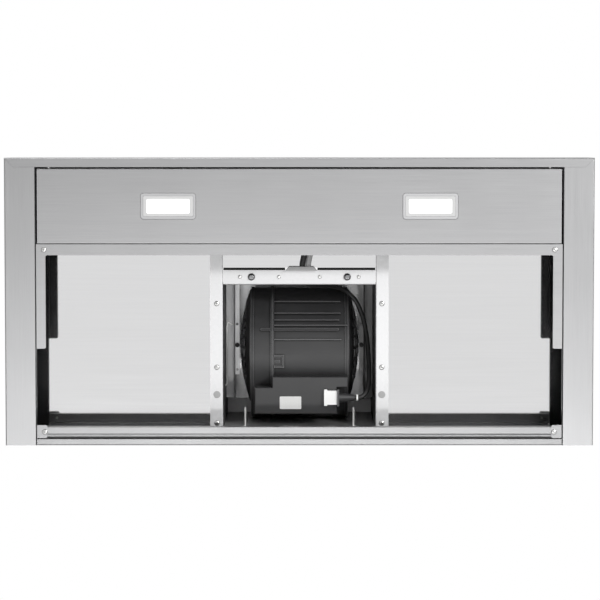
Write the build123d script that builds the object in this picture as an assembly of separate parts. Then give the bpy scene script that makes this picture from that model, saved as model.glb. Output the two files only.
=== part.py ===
from build123d import *
import math
import os

# Wall-hung range hood: a shallow box canopy under a telescopic chimney, with the grease filters taken out.
# Millimetres. X runs to the right, Y towards the wall and Z up. The wall is the plane Y = 0.
# Heights in this file count from the canopy's underside. The written solids are lowered, so that their
# origin lies midway between the two wall holes.

# Canopy sheets
HOOD_WIDTH = 900.0
HOOD_DEPTH = 440.0
CANOPY_HEIGHT = 105.0
SHEET = 1.0
BEND = 1.5  # radius of a fold, at the middle of the sheet
SEAM = 0.2  # hairline where two pieces butt
FRONT_RETURN = 14.0
SIDE_RETURN = 48.0
REAR_RETURN = 9.5
RETURN_LIP = 8.0
RECESS = 2.0  # how far the inner panels sit above the underside
PANEL_GAP = 2.0  # dark gap round the light panel

# Wall fixing
WALL_HOLE_HEIGHT = 62.0
WALL_HOLE_SPACING = 320.0
WALL_HOLE_RADIUS = 4.0
HOOK_SPACING = 168.0
HOOK_WINDOW_HEIGHT = 16.0
HOOK_SHEET = 1.5
HOOK_WIDTH = 30.0
HOOK_HEIGHT = 40.0
HOOK_DEPTH = 19.0
HOOK_FOOT = 9.0
ADJUSTER_RADIUS = 2.0
ADJUSTER_LENGTH = 52.0
ADJUSTER_FIT = 0.1
NUT_RADIUS = 4.0
NUT_HEIGHT = 4.0

# Light panel and lamps
PANEL_DEPTH = 115.5
PANEL_FLANGE = 14.0
LAMP_SPACING = 400.0
BEZEL_WIDTH = 85.0
BEZEL_DEPTH = 40.5
BEZEL_THICKNESS = 1.6
BEZEL_CORNER = 5.0
BEZEL_SLEEVE = 6.0
BEZEL_WALL = 1.6
LAMP_WIDTH = 76.0
LAMP_DEPTH = 31.0
LAMP_HEIGHT = 17.0
LAMP_CORNER = 2.0
LAMP_FIT = 0.2
FIN_COUNT = 7
FIN_GAP = 3.0
FIN_HEIGHT = 8.0
LENS_WIDTH = 66.0
LENS_DEPTH = 22.0
LENS_THICKNESS = 1.8

# Filter rest and rear rail
REST_DEPTH = 16.8
REST_ARM_LENGTH = 143.0
REST_ARM_WIDTH = 14.4
REST_ROUND = 3.0
RAIL_GAP = 3.0
RAIL_DEPTH = 16.0
RAIL_HEIGHT = 12.0
RAIL_BEAD = 3.9
RAIL_GROOVE = 1.0
RAIL_GROOVE_HALF = 1.3
RAIL_BEND = 0.8
RAIL_BRACKET_WIDTH = 16.0
RAIL_BRACKET_DEPTH = 20.0
CORNER_SCREW_INSET = 12.0

# Controls behind the front panel
BUTTONS = ("light", "off", "low", "medium", "high")
BUTTON_PITCH = 24.0
BUTTON_RADIUS = 6.2
BUTTON_LENGTH = 8.6
BUTTON_BEVEL = 0.8
BUTTON_FLANGE = 1.4
BUTTON_FLANGE_WIDTH = 1.4
BUTTON_TRAVEL = 2.0
BUTTON_FIT = 0.3
BUTTON_HEIGHT = 52.0
BUTTON_MARGIN = 6.0
BUTTON_BEZEL_DEPTH = 3.0
BUTTON_BEZEL_STEP = 3.0
CONTROL_WALL = 2.0
CONTROL_DEPTH = 44.0
CONTROL_MARGIN = 5.0
BOARD_THICKNESS = 1.6
SWITCH_SIZE = 6.0
SWITCH_HEIGHT = 5.0

# Screws, rivets and studs
SCREW_RADIUS = 2.0
SCREW_HEAD_RADIUS = 4.0
SCREW_HEAD_HEIGHT = 1.8
SCREW_LENGTH = 6.0
SCREW_FIT = 0.2
RIVET_HEAD_RADIUS = 3.0
RIVET_HEAD_HEIGHT = 0.9
STUD_RADIUS = 5.7
STUD_HEIGHT = 4.2
PLUG_DISC_RADIUS = 5.5
PLUG_DISC_HEIGHT = 0.8

# Blower box
BOX_SIDE_ROOM = 43.0  # from the scroll's side to the outside of the box
BOX_FRONT_ROOM = 16.0  # from the scroll's nose to the outside of the box
BOX_REAR = 12.0  # rear wall, counted from the wall of the room
STRIP_WIDTH = 19.5
STRIP_REACH = 62.0  # of the strips, in front of the box
STRIP_REAR = 4.0
STRIP_SCREW_INSET = 8.8
STRIP_SCREW_FRONT = 211.0  # counted from the wall of the room, as are the next three
STRIP_SCREW_MIDDLE = 111.0
STRIP_SCREW_REAR = 23.0
STRIP_PLUG = 68.0
STRAP_DEPTH = 20.0
STRAP_LIP = 9.0
STUD_INSET = 44.5  # from the end of the strap
OUTER_RIVET_INSET = 26.5
INNER_RIVET = 32.0  # from the hood's middle
ROOF_SLOT = 4.5  # opening left in front of the strap, for the leads
ROOF_OPENING_CORNER = 3.0
TOP_FLANGE = 25.0
NOTCH_MIDDLE = 9.0
NOTCH_WIDTH = 44.0
NOTCH_HEIGHT = 46.0

# Blower brackets
BRACKET_SHEET = 1.5
BRACKET_GAP = 14.3  # from the box's wall to the middle of the bracket's web
BRACKET_FLANGE = 8.0
BRACKET_HEIGHT = 28.0
BRACKET_WEB_END = 88.0  # of the web, behind the fan's axis
BRACKET_FLANGE_END = 48.0  # of the lower flange, behind the fan's axis
BRACKET_HOLE_RADIUS = 2.1
BRACKET_HOLE_FRONT = 34.0  # in front of the fan's axis
BRACKET_HOLE_REAR = 40.0  # behind it
BUFFER_HEAD_RADIUS = 3.6
BUFFER_HEAD = 3.2
BUFFER_NIB = 1.6

# Blower scroll
SCROLL_WIDTH = 155.0
SCROLL_ROOM = 12.0  # from the wheel's rim to the scroll's tightest arc
SCROLL_REAR_ROOM = 4.0  # from the scroll's back to the box's rear wall
BELLY_RISE = 49.0  # of the scroll's lowest point, above the canopy's top
SCROLL_STEP = 8.0
SCROLL_WALL = 2.5
SCROLL_SPLIT = -43.0
SPLIT_RIM = 3.0
SPLIT_RIM_WIDTH = 5.4
OUTLET_RISE = 14.0
OUTLET_LEAD = 26.0
INLET_INSET = 13.0  # of the inlets, inside the wheel's rim
INLET_LIP = 3.0
PIN_BOSS_ANGLE = 23.0  # degrees forward of straight down
PIN_BOSS_WIDTH = 4.0
PIN_BOSS_LENGTH = 16.0
RIBS = (  # degrees forward of straight down, width, and inset of the free end from the scroll's side
    (13.7, 1.6, 11.0),
    (PIN_BOSS_ANGLE, PIN_BOSS_WIDTH, 15.0),
    (26.8, 1.6, 1.0),
    (32.0, 2.0, 14.0),
    (39.0, 1.6, 12.0),
    (53.0, 1.6, 12.0),
)
RIB_HEIGHT = 3.0
RIB_ROUND = 0.45  # radius of the free end, as a share of the width
END_RIM = 1.5
END_RIM_WIDTH = 5.0
CLIP_WIDTH = 16.0
CLIP_DEPTH = 20.0
CLIP_HEIGHT = 3.4
CLIP_BAR = 3.2

# Inlet guards
GUARD_INSET = 2.0  # of the guards, inside the scroll's tightest arc
GUARD_HEIGHT = 18.5
GUARD_THICKNESS = 2.0
GUARD_RIM = 2.0
GUARD_FOOT = 6.0
GUARD_RING_SHARES = (0.813, 0.593, 0.352, 0.154)  # of the guard's radius
GUARD_SLOTS = (20, 14, 8)
GUARD_RIB = 4.0

# Fan wheel and motor
WHEEL_RADIUS = 81.0
WHEEL_GAP = 6.0  # between the wheel's ends and the scroll's side walls
BLADE_COUNT = 28
BLADE_DEPTH = 15.0
BLADE_THICKNESS = 1.2
BLADE_SWEEP = 9.0
BLADE_BOW = 2.4
WHEEL_RING = 2.4
WHEEL_DISC = 2.4
HUB_RADIUS = 13.0
HUB_LENGTH = 22.0
HUB_FIT = 0.02
SHAFT_RADIUS = 4.0
SHAFT_FIT = 0.05
SHAFT_GRIP = 30.0
SHAFT_PROUD = 3.0
MOTOR_RADIUS = 45.0
MOTOR_CAP = 7.0
MOTOR_CAP_STEP = 6.0
MOTOR_BOSS = 12.0
MOTOR_GAP = 5.0
SPIDER_THICKNESS = 2.5
SPIDER_RIM = 6.0
SPIDER_ARM = 12.0
SPIDER_ARMS = 4
SPIDER_HUB = 38.0

# Terminal box, plug and leads
TERMINAL_FACE = 23.0  # its face above the canopy's top
TERMINAL_LEFT = 71.0
TERMINAL_RIGHT = 77.0
TERMINAL_NOTCH = 59.5
TERMINAL_FRONT = 93.5
TERMINAL_STEP = 76.5
TERMINAL_REAR = 34.7
TERMINAL_ROUND = 2.0
TERMINAL_FIT = 0.3
TERMINAL_DEPTH = 90.0
PLUG_WIDTH = 20.5
PLUG_DEPTH = 22.0
PLUG_DROP = 9.0
PLUG_TO_WALL = 61.2
PLUG_SHOULDER = 5.0
PLUG_SHOULDER_STEP = 1.8
BOOT_PLATE = 3.0
BOOT_PLATE_DEPTH = 26.0
BOOT_PLATE_HEIGHT = 17.0
BOOT_START = 8.0
BOOT_END = 4.6
BOOT_LENGTH = 24.0
CABLE_RADIUS = 3.6
TIE_WIDTH = 2.6
TIE_WALL = 1.3
TIE_FIT = 0.1
TIE_OFFSET = 3.4
CABLE_PLACE = 4.5  # of the motor cable's end, along the grommet
LEAD_RADIUS = 4.4
LEAD_PLACES = (4.6, 13.8)
LEAD_ROUND = 0.45  # share of a lead's run that a bend takes up at each end
GROMMET_MIDDLE = 3.0
GROMMET_WIDTH = 50.0
GROMMET_RISE = 16.0
GROMMET_DROP = 13.0
GROMMET_LIP = 2.0
GROMMET_SLOPE = 6.0

# Outlet collar and damper
COLLAR_RADIUS = 75.0
COLLAR_WALL = 1.5
COLLAR_HEIGHT = 46.0
COLLAR_FLANGE = 9.0
FLAP_THICKNESS = 1.2
FLAP_GAP = 0.8
FLAP_STOP = 4.5
FLAP_STOP_HEIGHT = 2.0
FLAP_SEAT = 0.3
FLAP_RISE = 15.0
PIN_RADIUS = 2.0
PIN_FIT = 0.08
KNUCKLE_RADIUS = 3.8
KNUCKLE_INNER = 22.0
KNUCKLE_OUTER = 64.0
KNUCKLE_GAP = 0.6

# Chimney
CHIMNEY_SIDE_ROOM = 17.5  # from the blower box to the chimney's outside
CHIMNEY_FRONT_ROOM = 18.5  # from the roof's opening to the chimney's outside
CHIMNEY_LOWER = 430.0
CHIMNEY_SHOW = 26.0  # of the upper chimney, above the lower one when pushed right down
CHIMNEY_FLANGE = 18.0
CHIMNEY_FOOT = 6.0
SLIDE_GAP = 0.6
VENT_COUNT = 5
VENT_LENGTH = 110.0
VENT_HEIGHT = 5.0
VENT_PITCH = 12.0
VENT_TOP = 38.0
WALL_BRACKET_SHEET = 1.5
WALL_BRACKET_HEIGHT = 24.0
WALL_BRACKET_TAB = 26.0
WALL_BRACKET_STEP = 22.0
WALL_BRACKET_HOLES = 140.0
WALL_BRACKET_HOLE_RADIUS = 3.5

# Places worked out from the sizes above
half = HOOD_WIDTH / 2
front = -HOOD_DEPTH
mid = SHEET / 2
return_x = half - SIDE_RETURN
roof_z = CANOPY_HEIGHT - SHEET
panel_half = return_x - PANEL_GAP
panel_front = front + FRONT_RETURN + PANEL_GAP
panel_rear = panel_front + PANEL_DEPTH
panel_top = RECESS + SHEET
lamp_y = (panel_front + panel_rear) / 2
lamp_face = RECESS - BEZEL_THICKNESS + LAMP_FIT
sleeve_out = LAMP_FIT + BEZEL_WALL
rest_front = panel_rear + SEAM
rest_rear = rest_front + REST_DEPTH
rest_out = return_x - SEAM
rail_rear = -REAR_RETURN - RAIL_GAP
rail_front = rail_rear - RAIL_DEPTH
button_half = (len(BUTTONS) - 1) / 2 * BUTTON_PITCH + BUTTON_RADIUS + BUTTON_MARGIN
button_rise = BUTTON_RADIUS + BUTTON_MARGIN
control_half = button_half + BUTTON_BEZEL_STEP + CONTROL_MARGIN
control_rise = button_rise + BUTTON_BEZEL_STEP + CONTROL_MARGIN
control_front = front + SHEET + SEAM
control_rear = control_front + CONTROL_DEPTH
switch_y = front + BUTTON_LENGTH + BUTTON_TRAVEL + BUTTON_FIT
scroll_radius = WHEEL_RADIUS + SCROLL_ROOM
scroll_belly = scroll_radius + SCROLL_STEP
outlet_rear = -BOX_REAR - SHEET - SCROLL_REAR_ROOM
scroll_y = outlet_rear - scroll_belly - SCROLL_STEP  # middle of the scroll's two lower arcs
axis_y = scroll_y - SCROLL_STEP
axis_z = CANOPY_HEIGHT + BELLY_RISE + scroll_belly
scroll_half = SCROLL_WIDTH / 2
box_half = scroll_half + BOX_SIDE_ROOM
box_in = box_half - SHEET
box_ahead = axis_y - scroll_radius - BOX_FRONT_ROOM
box_top = axis_z + scroll_radius + OUTLET_RISE
inlet_radius = WHEEL_RADIUS - INLET_INSET
guard_radius = scroll_radius - GUARD_INSET
guard_rings = [guard_radius * share for share in GUARD_RING_SHARES]
spider_radius = inlet_radius + SPIDER_RIM
outlet_front = axis_y - OUTLET_LEAD
collar_y = (outlet_rear + outlet_front) / 2
collar_base = box_top + SHEET
collar_bore = COLLAR_RADIUS - COLLAR_WALL
pin_z = collar_base + FLAP_RISE
wheel_end = scroll_half - SCROLL_WALL - WHEEL_GAP
motor_left = HUB_LENGTH / 2 + MOTOR_GAP
terminal_z = CANOPY_HEIGHT + TERMINAL_FACE
plug_z = terminal_z - PLUG_DROP / 2
boot_left = TERMINAL_NOTCH + BOOT_PLATE
boot_right = boot_left + BOOT_LENGTH
bracket_x = box_in - BRACKET_GAP
buffer_x = bracket_x - (BRACKET_FLANGE + BRACKET_SHEET / 2) / 2
strap_front = box_ahead - STRAP_DEPTH
strap_z = roof_z - SHEET
opening_front = strap_front - ROOF_SLOT
opening_half = box_half + BEND + SEAM
grommet_front = opening_front - GROMMET_LIP
grommet_rear = strap_front - SEAM
lead_z = roof_z - GROMMET_DROP / 2
chimney_half = box_half + CHIMNEY_SIDE_ROOM
chimney_front = opening_front - CHIMNEY_FRONT_ROOM
chimney_top = CANOPY_HEIGHT + CHIMNEY_LOWER
upper_half = chimney_half - SHEET - SLIDE_GAP
upper_front = chimney_front + SHEET + SLIDE_GAP
upper_rear = -SHEET - SLIDE_GAP
upper_bottom = CANOPY_HEIGHT + SHEET + SLIDE_GAP
upper_top = chimney_top + CHIMNEY_SHOW
tab_y = -WALL_BRACKET_STEP - WALL_BRACKET_TAB / 2
tab_z = upper_top - WALL_BRACKET_HEIGHT / 2


def both_sides(*places):
    """Places on the right in plan, each with its twin on the left."""
    return [(side * x, y) for x, y in places for side in (1, -1)]


strip_x = box_half + STRIP_SCREW_INSET
strip_screws = (STRIP_SCREW_FRONT, STRIP_SCREW_MIDDLE, STRIP_SCREW_REAR)
strip_screw_places = both_sides(*[(strip_x, -distance) for distance in strip_screws])
plug_disc_places = both_sides((strip_x, -STRIP_PLUG))
strap_y = strap_front + STRAP_DEPTH / 2
stud_places = both_sides((box_in - STUD_INSET, strap_y))
rivet_places = both_sides((INNER_RIVET, strap_y), (box_in - OUTER_RIVET_INSET, strap_y))
rest_screw_places = both_sides((return_x - CORNER_SCREW_INSET, (rest_front + rest_rear) / 2))
rail_screw_places = both_sides((return_x - CORNER_SCREW_INSET, (rail_front + rail_rear) / 2))


def block(x, y, z):
    """A block between two limits on each axis."""
    size = [limits[1] - limits[0] for limits in (x, y, z)]
    middle = [(limits[0] + limits[1]) / 2 for limits in (x, y, z)]
    return Pos(*middle) * Box(*size)


def along_x(face, x0, x1):
    """A section drawn in Y and Z, run from x0 to x1."""
    return extrude(Plane.YZ.offset(x0) * face, x1 - x0, dir=(1, 0, 0))


def along_y(face, y0, y1):
    """A section drawn in X and Z, run from y0 to y1."""
    plane = Plane((0, y0, 0), x_dir=(1, 0, 0), z_dir=(0, -1, 0))
    return extrude(plane * face, y1 - y0, dir=(0, 1, 0))


def upright(face, z0, z1):
    """A plan drawn in X and Y, run from z0 to z1."""
    return extrude(Pos(0, 0, z0) * face, z1 - z0, dir=(0, 0, 1))


def outline(*points):
    """A flat face with straight edges."""
    return make_face(Polyline(*points, close=True))


def folded(*points, thickness=SHEET, bend=BEND):
    """The section of a bent sheet whose middle runs through the points."""
    return trace(FilletPolyline(*points, radius=bend), thickness)


def opposite(shape):
    """The left-hand twin of a right-hand piece."""
    return mirror(shape, about=Plane.YZ)


def bar_x(radius, x0, x1, y=axis_y, z=axis_z):
    """A round bar along X, by default on the fan's axis."""
    return along_x(Pos(y, z) * Circle(radius), x0, x1)


def bar_y(radius, y0, y1, x, z):
    """A round bar along Y."""
    return along_y(Pos(x, z) * Circle(radius), y0, y1)


def screw_holes(places, height):
    """Clearance holes for screws at places in plan, through the sheets near a height."""
    drill = Cylinder(SCREW_RADIUS + SCREW_FIT, 6 * SHEET)
    return [Pos(x, y, height) * drill for x, y in places]


def fastener(head_radius, head_height):
    """A screw or rivet driven upwards, whose bevelled head hangs below Z = 0."""
    head = Cylinder(head_radius, head_height, align=(Align.CENTER, Align.CENTER, Align.MAX))
    head = chamfer(head.edges().group_by(Axis.Z)[0], head_height / 2)
    return head + Cylinder(SCREW_RADIUS, SCREW_LENGTH, align=(Align.CENTER, Align.CENTER, Align.MIN))


def fasteners(piece, places, height):
    """One fastener at each place in plan, seated at a height."""
    return [Pos(x, y, height) * piece for x, y in places]


def group(solids):
    """Separate solids that share a node."""
    return Compound(children=[solid for shape in solids for solid in shape.solids()])


def pair(right):
    """A right-hand piece and its left-hand twin in one node."""
    return group([right, opposite(right)])


# Canopy sheets


def front_panel():
    """Front wall with its mitred bottom return and the window for the buttons."""
    section = folded((front + mid, CANOPY_HEIGHT), (front + mid, mid), (front + FRONT_RETURN, mid))
    panel = along_x(section, -half, half)
    reach = FRONT_RETURN + SHEET
    corner = outline(
        (half - SHEET, front + SHEET),
        (half + SHEET, front + SHEET),
        (half + SHEET, front + reach),
        (half - reach, front + reach),
    )
    corner = upright(corner, -SHEET, SHEET + 2 * BEND)
    window = block(
        (-button_half - SEAM, button_half + SEAM),
        (front - SHEET, front + 2 * SHEET),
        (BUTTON_HEIGHT - button_rise - SEAM, BUTTON_HEIGHT + button_rise + SEAM),
    )
    return panel - corner - opposite(corner) - window


def side_panel():
    """Right-hand wall with its wide bottom return and the upturned lip at the return's inner edge."""
    foot = (return_x + mid, mid)
    section = folded((half - mid, CANOPY_HEIGHT), (half - mid, mid), foot, (return_x + mid, RETURN_LIP))
    panel = along_y(section, front + SHEET + SEAM, 0)
    corner = outline(
        (half - SHEET, front - SHEET),
        (half - SHEET, front + SHEET + SEAM),
        (half - FRONT_RETURN, front + FRONT_RETURN + SEAM),
        (return_x - SHEET, front + FRONT_RETURN + SEAM),
        (return_x - SHEET, front - SHEET),
    )
    rear = block((return_x - SHEET, half - SHEET), (-SHEET - SEAM, SHEET), (SHEET, CANOPY_HEIGHT))
    return panel - upright(corner, -SHEET, RETURN_LIP + SHEET) - rear


def rear_panel():
    """Wall-side sheet with its narrow bottom return, the wall holes and the hook windows."""
    inside = half - SHEET - SEAM
    panel = along_x(folded((-mid, CANOPY_HEIGHT), (-mid, mid), (-REAR_RETURN, mid)), -inside, inside)
    window = HOOK_WIDTH / 2 - HOOK_SHEET - BEND
    rise = HOOK_WINDOW_HEIGHT / 2
    for side in (-1, 1):
        ends = sorted((side * (return_x - SEAM), side * half))
        panel -= block(ends, (-REAR_RETURN - SHEET, SHEET), (-SHEET, SHEET + SEAM))
        panel -= block(ends, (-REAR_RETURN - SHEET, -SHEET), (-SHEET, SHEET + 2 * BEND))
        panel -= bar_y(WALL_HOLE_RADIUS, -2 * SHEET, SHEET, side * WALL_HOLE_SPACING / 2, WALL_HOLE_HEIGHT)
        hook = side * HOOK_SPACING / 2
        level = (WALL_HOLE_HEIGHT - rise, WALL_HOLE_HEIGHT + rise)
        panel -= block((hook - window, hook + window), (-2 * SHEET, SHEET), level)
    return panel


def roof_panel():
    """Top sheet with the blower's opening and the holes of the strip screws."""
    inside = half - SHEET - SEAM
    panel = block((-inside, inside), (front + SHEET + SEAM, -SHEET - SEAM), (roof_z, CANOPY_HEIGHT))
    depth = -BOX_REAR + BEND + SEAM - opening_front
    opening = RectangleRounded(2 * opening_half, depth, ROOF_OPENING_CORNER)
    cut = upright(Pos(0, opening_front + depth / 2) * opening, roof_z - SHEET, CANOPY_HEIGHT + SHEET)
    return panel - cut - screw_holes(strip_screw_places + plug_disc_places, roof_z)


# Wall hooks


def hook_bracket():
    """Hat-shaped bracket behind the right-hand hook window, with the adjusting screw's hole."""
    x = HOOK_SPACING / 2
    side = HOOK_WIDTH / 2 - HOOK_SHEET / 2
    foot = side + HOOK_FOOT
    back = -SHEET - HOOK_SHEET / 2
    face = -SHEET - HOOK_DEPTH + HOOK_SHEET / 2
    legs = (x - side, back), (x - side, face), (x + side, face), (x + side, back)
    plan = folded((x - foot, back), *legs, (x + foot, back), thickness=HOOK_SHEET)
    hat = upright(plan, WALL_HOLE_HEIGHT - HOOK_HEIGHT / 2, WALL_HOLE_HEIGHT + HOOK_HEIGHT / 2)
    return hat - bar_y(ADJUSTER_RADIUS + SCREW_FIT, -2 * HOOK_DEPTH, -SHEET, x, WALL_HOLE_HEIGHT)


def adjusters():
    """Two adjusting screws along Y, each with its lock nut on the face of the bracket."""
    solids = []
    face = -SHEET - HOOK_DEPTH
    for side in (1, -1):
        x = side * HOOK_SPACING / 2
        solids.append(bar_y(ADJUSTER_RADIUS, -mid - ADJUSTER_LENGTH, -mid, x, WALL_HOLE_HEIGHT))
        hexagon = RegularPolygon(NUT_RADIUS, 6) - Circle(ADJUSTER_RADIUS + ADJUSTER_FIT)
        solids.append(along_y(Pos(x, WALL_HOLE_HEIGHT) * hexagon, face - NUT_HEIGHT, face))
    return group(solids)


# Light panel and lamps


def light_panel():
    """Folded pan with a window for each lamp."""
    level = RECESS + mid
    start = (panel_front + mid, PANEL_FLANGE)
    end = (panel_rear - mid, PANEL_FLANGE)
    panel = along_x(folded(start, (start[0], level), (end[0], level), end), -panel_half, panel_half)
    room = 2 * (sleeve_out + LAMP_FIT)
    window = RectangleRounded(LAMP_WIDTH + room, LAMP_DEPTH + room, LAMP_CORNER)
    cut = upright(window, RECESS - SHEET, panel_top + SHEET)
    return panel - [Pos(side * LAMP_SPACING / 2, lamp_y, 0) * cut for side in (1, -1)]


def lamp_bezel():
    """Flanged frame pushed into the panel's window from below."""
    rim = RectangleRounded(BEZEL_WIDTH, BEZEL_DEPTH, BEZEL_CORNER)
    flange = upright(rim, RECESS - BEZEL_THICKNESS, RECESS)
    flange = chamfer(flange.faces().sort_by(Axis.Z)[0].edges(), BEZEL_THICKNESS / 2)
    sleeve = RectangleRounded(LAMP_WIDTH + 2 * sleeve_out, LAMP_DEPTH + 2 * sleeve_out, LAMP_CORNER)
    bore = RectangleRounded(LAMP_WIDTH + 2 * LAMP_FIT, LAMP_DEPTH + 2 * LAMP_FIT, LAMP_CORNER)
    frame = flange + upright(sleeve, RECESS, RECESS + BEZEL_SLEEVE)
    return frame - upright(bore, RECESS - 2 * BEZEL_THICKNESS, RECESS + 2 * BEZEL_SLEEVE)


def lamp_module():
    """Lamp body with the pocket that holds its lens and cooling fins on its back."""
    top = lamp_face + LAMP_HEIGHT
    body = upright(RectangleRounded(LAMP_WIDTH, LAMP_DEPTH, LAMP_CORNER), lamp_face, top)
    pocket = RectangleRounded(LENS_WIDTH + 2 * LAMP_FIT, LENS_DEPTH + 2 * LAMP_FIT, LAMP_CORNER)
    body -= upright(pocket, lamp_face - SHEET, lamp_face + LENS_THICKNESS)
    pitch = LAMP_WIDTH / (FIN_COUNT + 1)
    for step in range(FIN_COUNT):
        x = (step + 1) * pitch - LAMP_WIDTH / 2
        groove = (x - FIN_GAP / 2, x + FIN_GAP / 2)
        body -= block(groove, (-LAMP_DEPTH, LAMP_DEPTH), (top - FIN_HEIGHT, top + SHEET))
    return body


def lamp_lens():
    """Pale cover over the light source, seated on the floor of its pocket."""
    plan = RectangleRounded(LENS_WIDTH, LENS_DEPTH, LAMP_CORNER)
    return upright(plan, lamp_face + LAMP_FIT, lamp_face + LENS_THICKNESS)


# Filter rest and rear rail


def filter_rest():
    """U-shaped ledge for the filters: a bar behind the light panel and an arm along each side."""
    arm_in = return_x - REST_ARM_WIDTH
    arm_end = rest_rear + REST_ARM_LENGTH
    right = [(rest_out, rest_front), (rest_out, arm_end), (arm_in, arm_end), (arm_in, rest_rear)]
    plan = outline(*right, *[(-x, y) for x, y in reversed(right)])
    inner = [corner for corner in plan.vertices() if abs(abs(corner.X) - arm_in) < SEAM]
    ledge = upright(fillet(inner, REST_ROUND), RECESS, panel_top)
    ledge += block((-rest_out, rest_out), (rest_front, rest_front + SHEET), (panel_top, PANEL_FLANGE))
    web = block((rest_out - SHEET, rest_out), (rest_front, arm_end), (panel_top, RETURN_LIP))
    return ledge + web + opposite(web) - screw_holes(rest_screw_places, RECESS)


def rear_rail():
    """Roll-formed channel along the wall side, grooved beside its bead and flanged to the rear panel."""
    level = panel_top + mid
    top = panel_top + RAIL_HEIGHT
    groove = rail_rear - RAIL_BEAD
    section = folded(
        (rail_front + mid, top),
        (rail_front + mid, level),
        (groove - RAIL_GROOVE_HALF, level),
        (groove, level + RAIL_GROOVE),
        (groove + RAIL_GROOVE_HALF, level),
        (rail_rear - mid, level),
        (rail_rear - mid, top - mid),
        (-SHEET - SEAM, top - mid),
        bend=RAIL_BEND,
    )
    length = rest_out - SHEET - SEAM
    return along_x(section, -length, length) - screw_holes(rail_screw_places, panel_top)


def rail_bracket():
    """Right-hand corner plate that carries the rail, with a web on the side panel's lip."""
    rear = rail_rear + RAIL_GAP / 2
    ahead = rear - RAIL_BRACKET_DEPTH
    inner = return_x - RAIL_BRACKET_WIDTH
    plan = outline((inner, ahead), (rest_out, ahead), (rest_out, rear), (inner, rear))
    corners = [corner for corner in plan.vertices() if abs(corner.X - inner) < SEAM]
    plate = upright(fillet(corners, REST_ROUND), RECESS, panel_top)
    web = block((rest_out - SHEET, rest_out), (ahead, rear), (panel_top, RETURN_LIP))
    return plate + web - screw_holes(rail_screw_places, RECESS)


# Controls


def button_places():
    """Middle of each button along X, with its name."""
    first = -(len(BUTTONS) - 1) / 2 * BUTTON_PITCH
    return [(name, first + BUTTON_PITCH * step) for step, name in enumerate(BUTTONS)]


def button_bezel():
    """Plate flush with the front panel, stepped so that it seats on the back of the window."""
    seat = front + SHEET
    step = BUTTON_BEZEL_STEP
    level = (BUTTON_HEIGHT - button_rise, BUTTON_HEIGHT + button_rise)
    plate = block((-button_half, button_half), (front, seat), level)
    plate += block(
        (-button_half - step, button_half + step),
        (seat, front + BUTTON_BEZEL_DEPTH),
        (level[0] - step, level[1] + step),
    )
    hole = BUTTON_RADIUS + BUTTON_FIT
    ends = (front - SHEET, seat + BUTTON_BEZEL_DEPTH)
    return plate - [bar_y(hole, *ends, x, BUTTON_HEIGHT) for _, x in button_places()]


def button(x):
    """Push button with the flange that keeps it behind the bezel."""
    stem = bar_y(BUTTON_RADIUS, front, front + BUTTON_LENGTH, x, BUTTON_HEIGHT)
    stem = chamfer(stem.edges().group_by(Axis.Y)[0], BUTTON_BEVEL)
    stop = front + BUTTON_BEZEL_DEPTH + BUTTON_FIT
    return stem + bar_y(BUTTON_RADIUS + BUTTON_FLANGE_WIDTH, stop, stop + BUTTON_FLANGE, x, BUTTON_HEIGHT)


def control_box():
    """Tray on the back of the front panel, open towards the buttons."""
    wall = CONTROL_WALL
    low, high = BUTTON_HEIGHT - control_rise, BUTTON_HEIGHT + control_rise
    outside = (-control_half - wall, control_half + wall)
    tray = block(outside, (control_front, control_rear), (low - wall, high + wall))
    hollow = (control_front - wall, control_rear - wall)
    return tray - block((-control_half, control_half), hollow, (low, high))


def control_board():
    """Board inside the tray with one push switch behind each button."""
    back = switch_y + SWITCH_HEIGHT
    low, high = BUTTON_HEIGHT - control_rise + SEAM, BUTTON_HEIGHT + control_rise - SEAM
    board = block((-control_half + SEAM, control_half - SEAM), (back, back + BOARD_THICKNESS), (low, high))
    reach = SWITCH_SIZE / 2
    level = (BUTTON_HEIGHT - reach, BUTTON_HEIGHT + reach)
    for _, x in button_places():
        board += block((x - reach, x + reach), (switch_y, back), level)
    return board


# Blower box


def box_side():
    """Right-hand wall of the blower box with the strip that screws to the roof panel."""
    strip = (box_half + STRIP_WIDTH, roof_z - mid)
    section = folded(strip, (box_half - mid, roof_z - mid), (box_half - mid, box_top))
    strip_front = box_ahead - STRIP_REACH
    wall = along_y(section, strip_front, -STRIP_REAR)
    for ends in ((strip_front - SHEET, box_ahead), (-BOX_REAR, SHEET)):
        wall -= block((box_in - SHEET, box_half + 2 * BEND), ends, (roof_z, box_top + SHEET))
    return wall - screw_holes(strip_screw_places + plug_disc_places, roof_z)


def box_front():
    """Front wall with a forward flange over the strap and a notch for the motor cable."""
    face = box_ahead + mid
    section = folded((strap_front, roof_z - mid), (face, roof_z - mid), (face, box_top))
    wall = along_x(section, -box_in + SEAM, box_in - SEAM)
    sides = (NOTCH_MIDDLE - NOTCH_WIDTH / 2, NOTCH_MIDDLE + NOTCH_WIDTH / 2)
    foot = roof_z + STRAP_LIP
    notch = block(sides, (box_ahead - SHEET, box_ahead + 2 * SHEET), (foot, foot + NOTCH_HEIGHT))
    return wall - notch - screw_holes(stud_places + rivet_places, roof_z)


def box_rear():
    """Wall-side sheet with a flange under the roof panel and one under the top plate at each end."""
    face = -BOX_REAR - mid
    foot = (-STRIP_REAR, roof_z - mid)
    head = (-BOX_REAR - TOP_FLANGE, box_top - mid)
    section = folded(foot, (face, roof_z - mid), (face, box_top - mid), head)
    wall = along_x(section, -box_in + SEAM, box_in - SEAM)
    room = scroll_half + SPLIT_RIM
    top = (box_top - SHEET - 2 * BEND, box_top + SHEET)
    return wall - block((-room, room), (-BOX_REAR - 2 * TOP_FLANGE, -BOX_REAR - SHEET), top)


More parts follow.
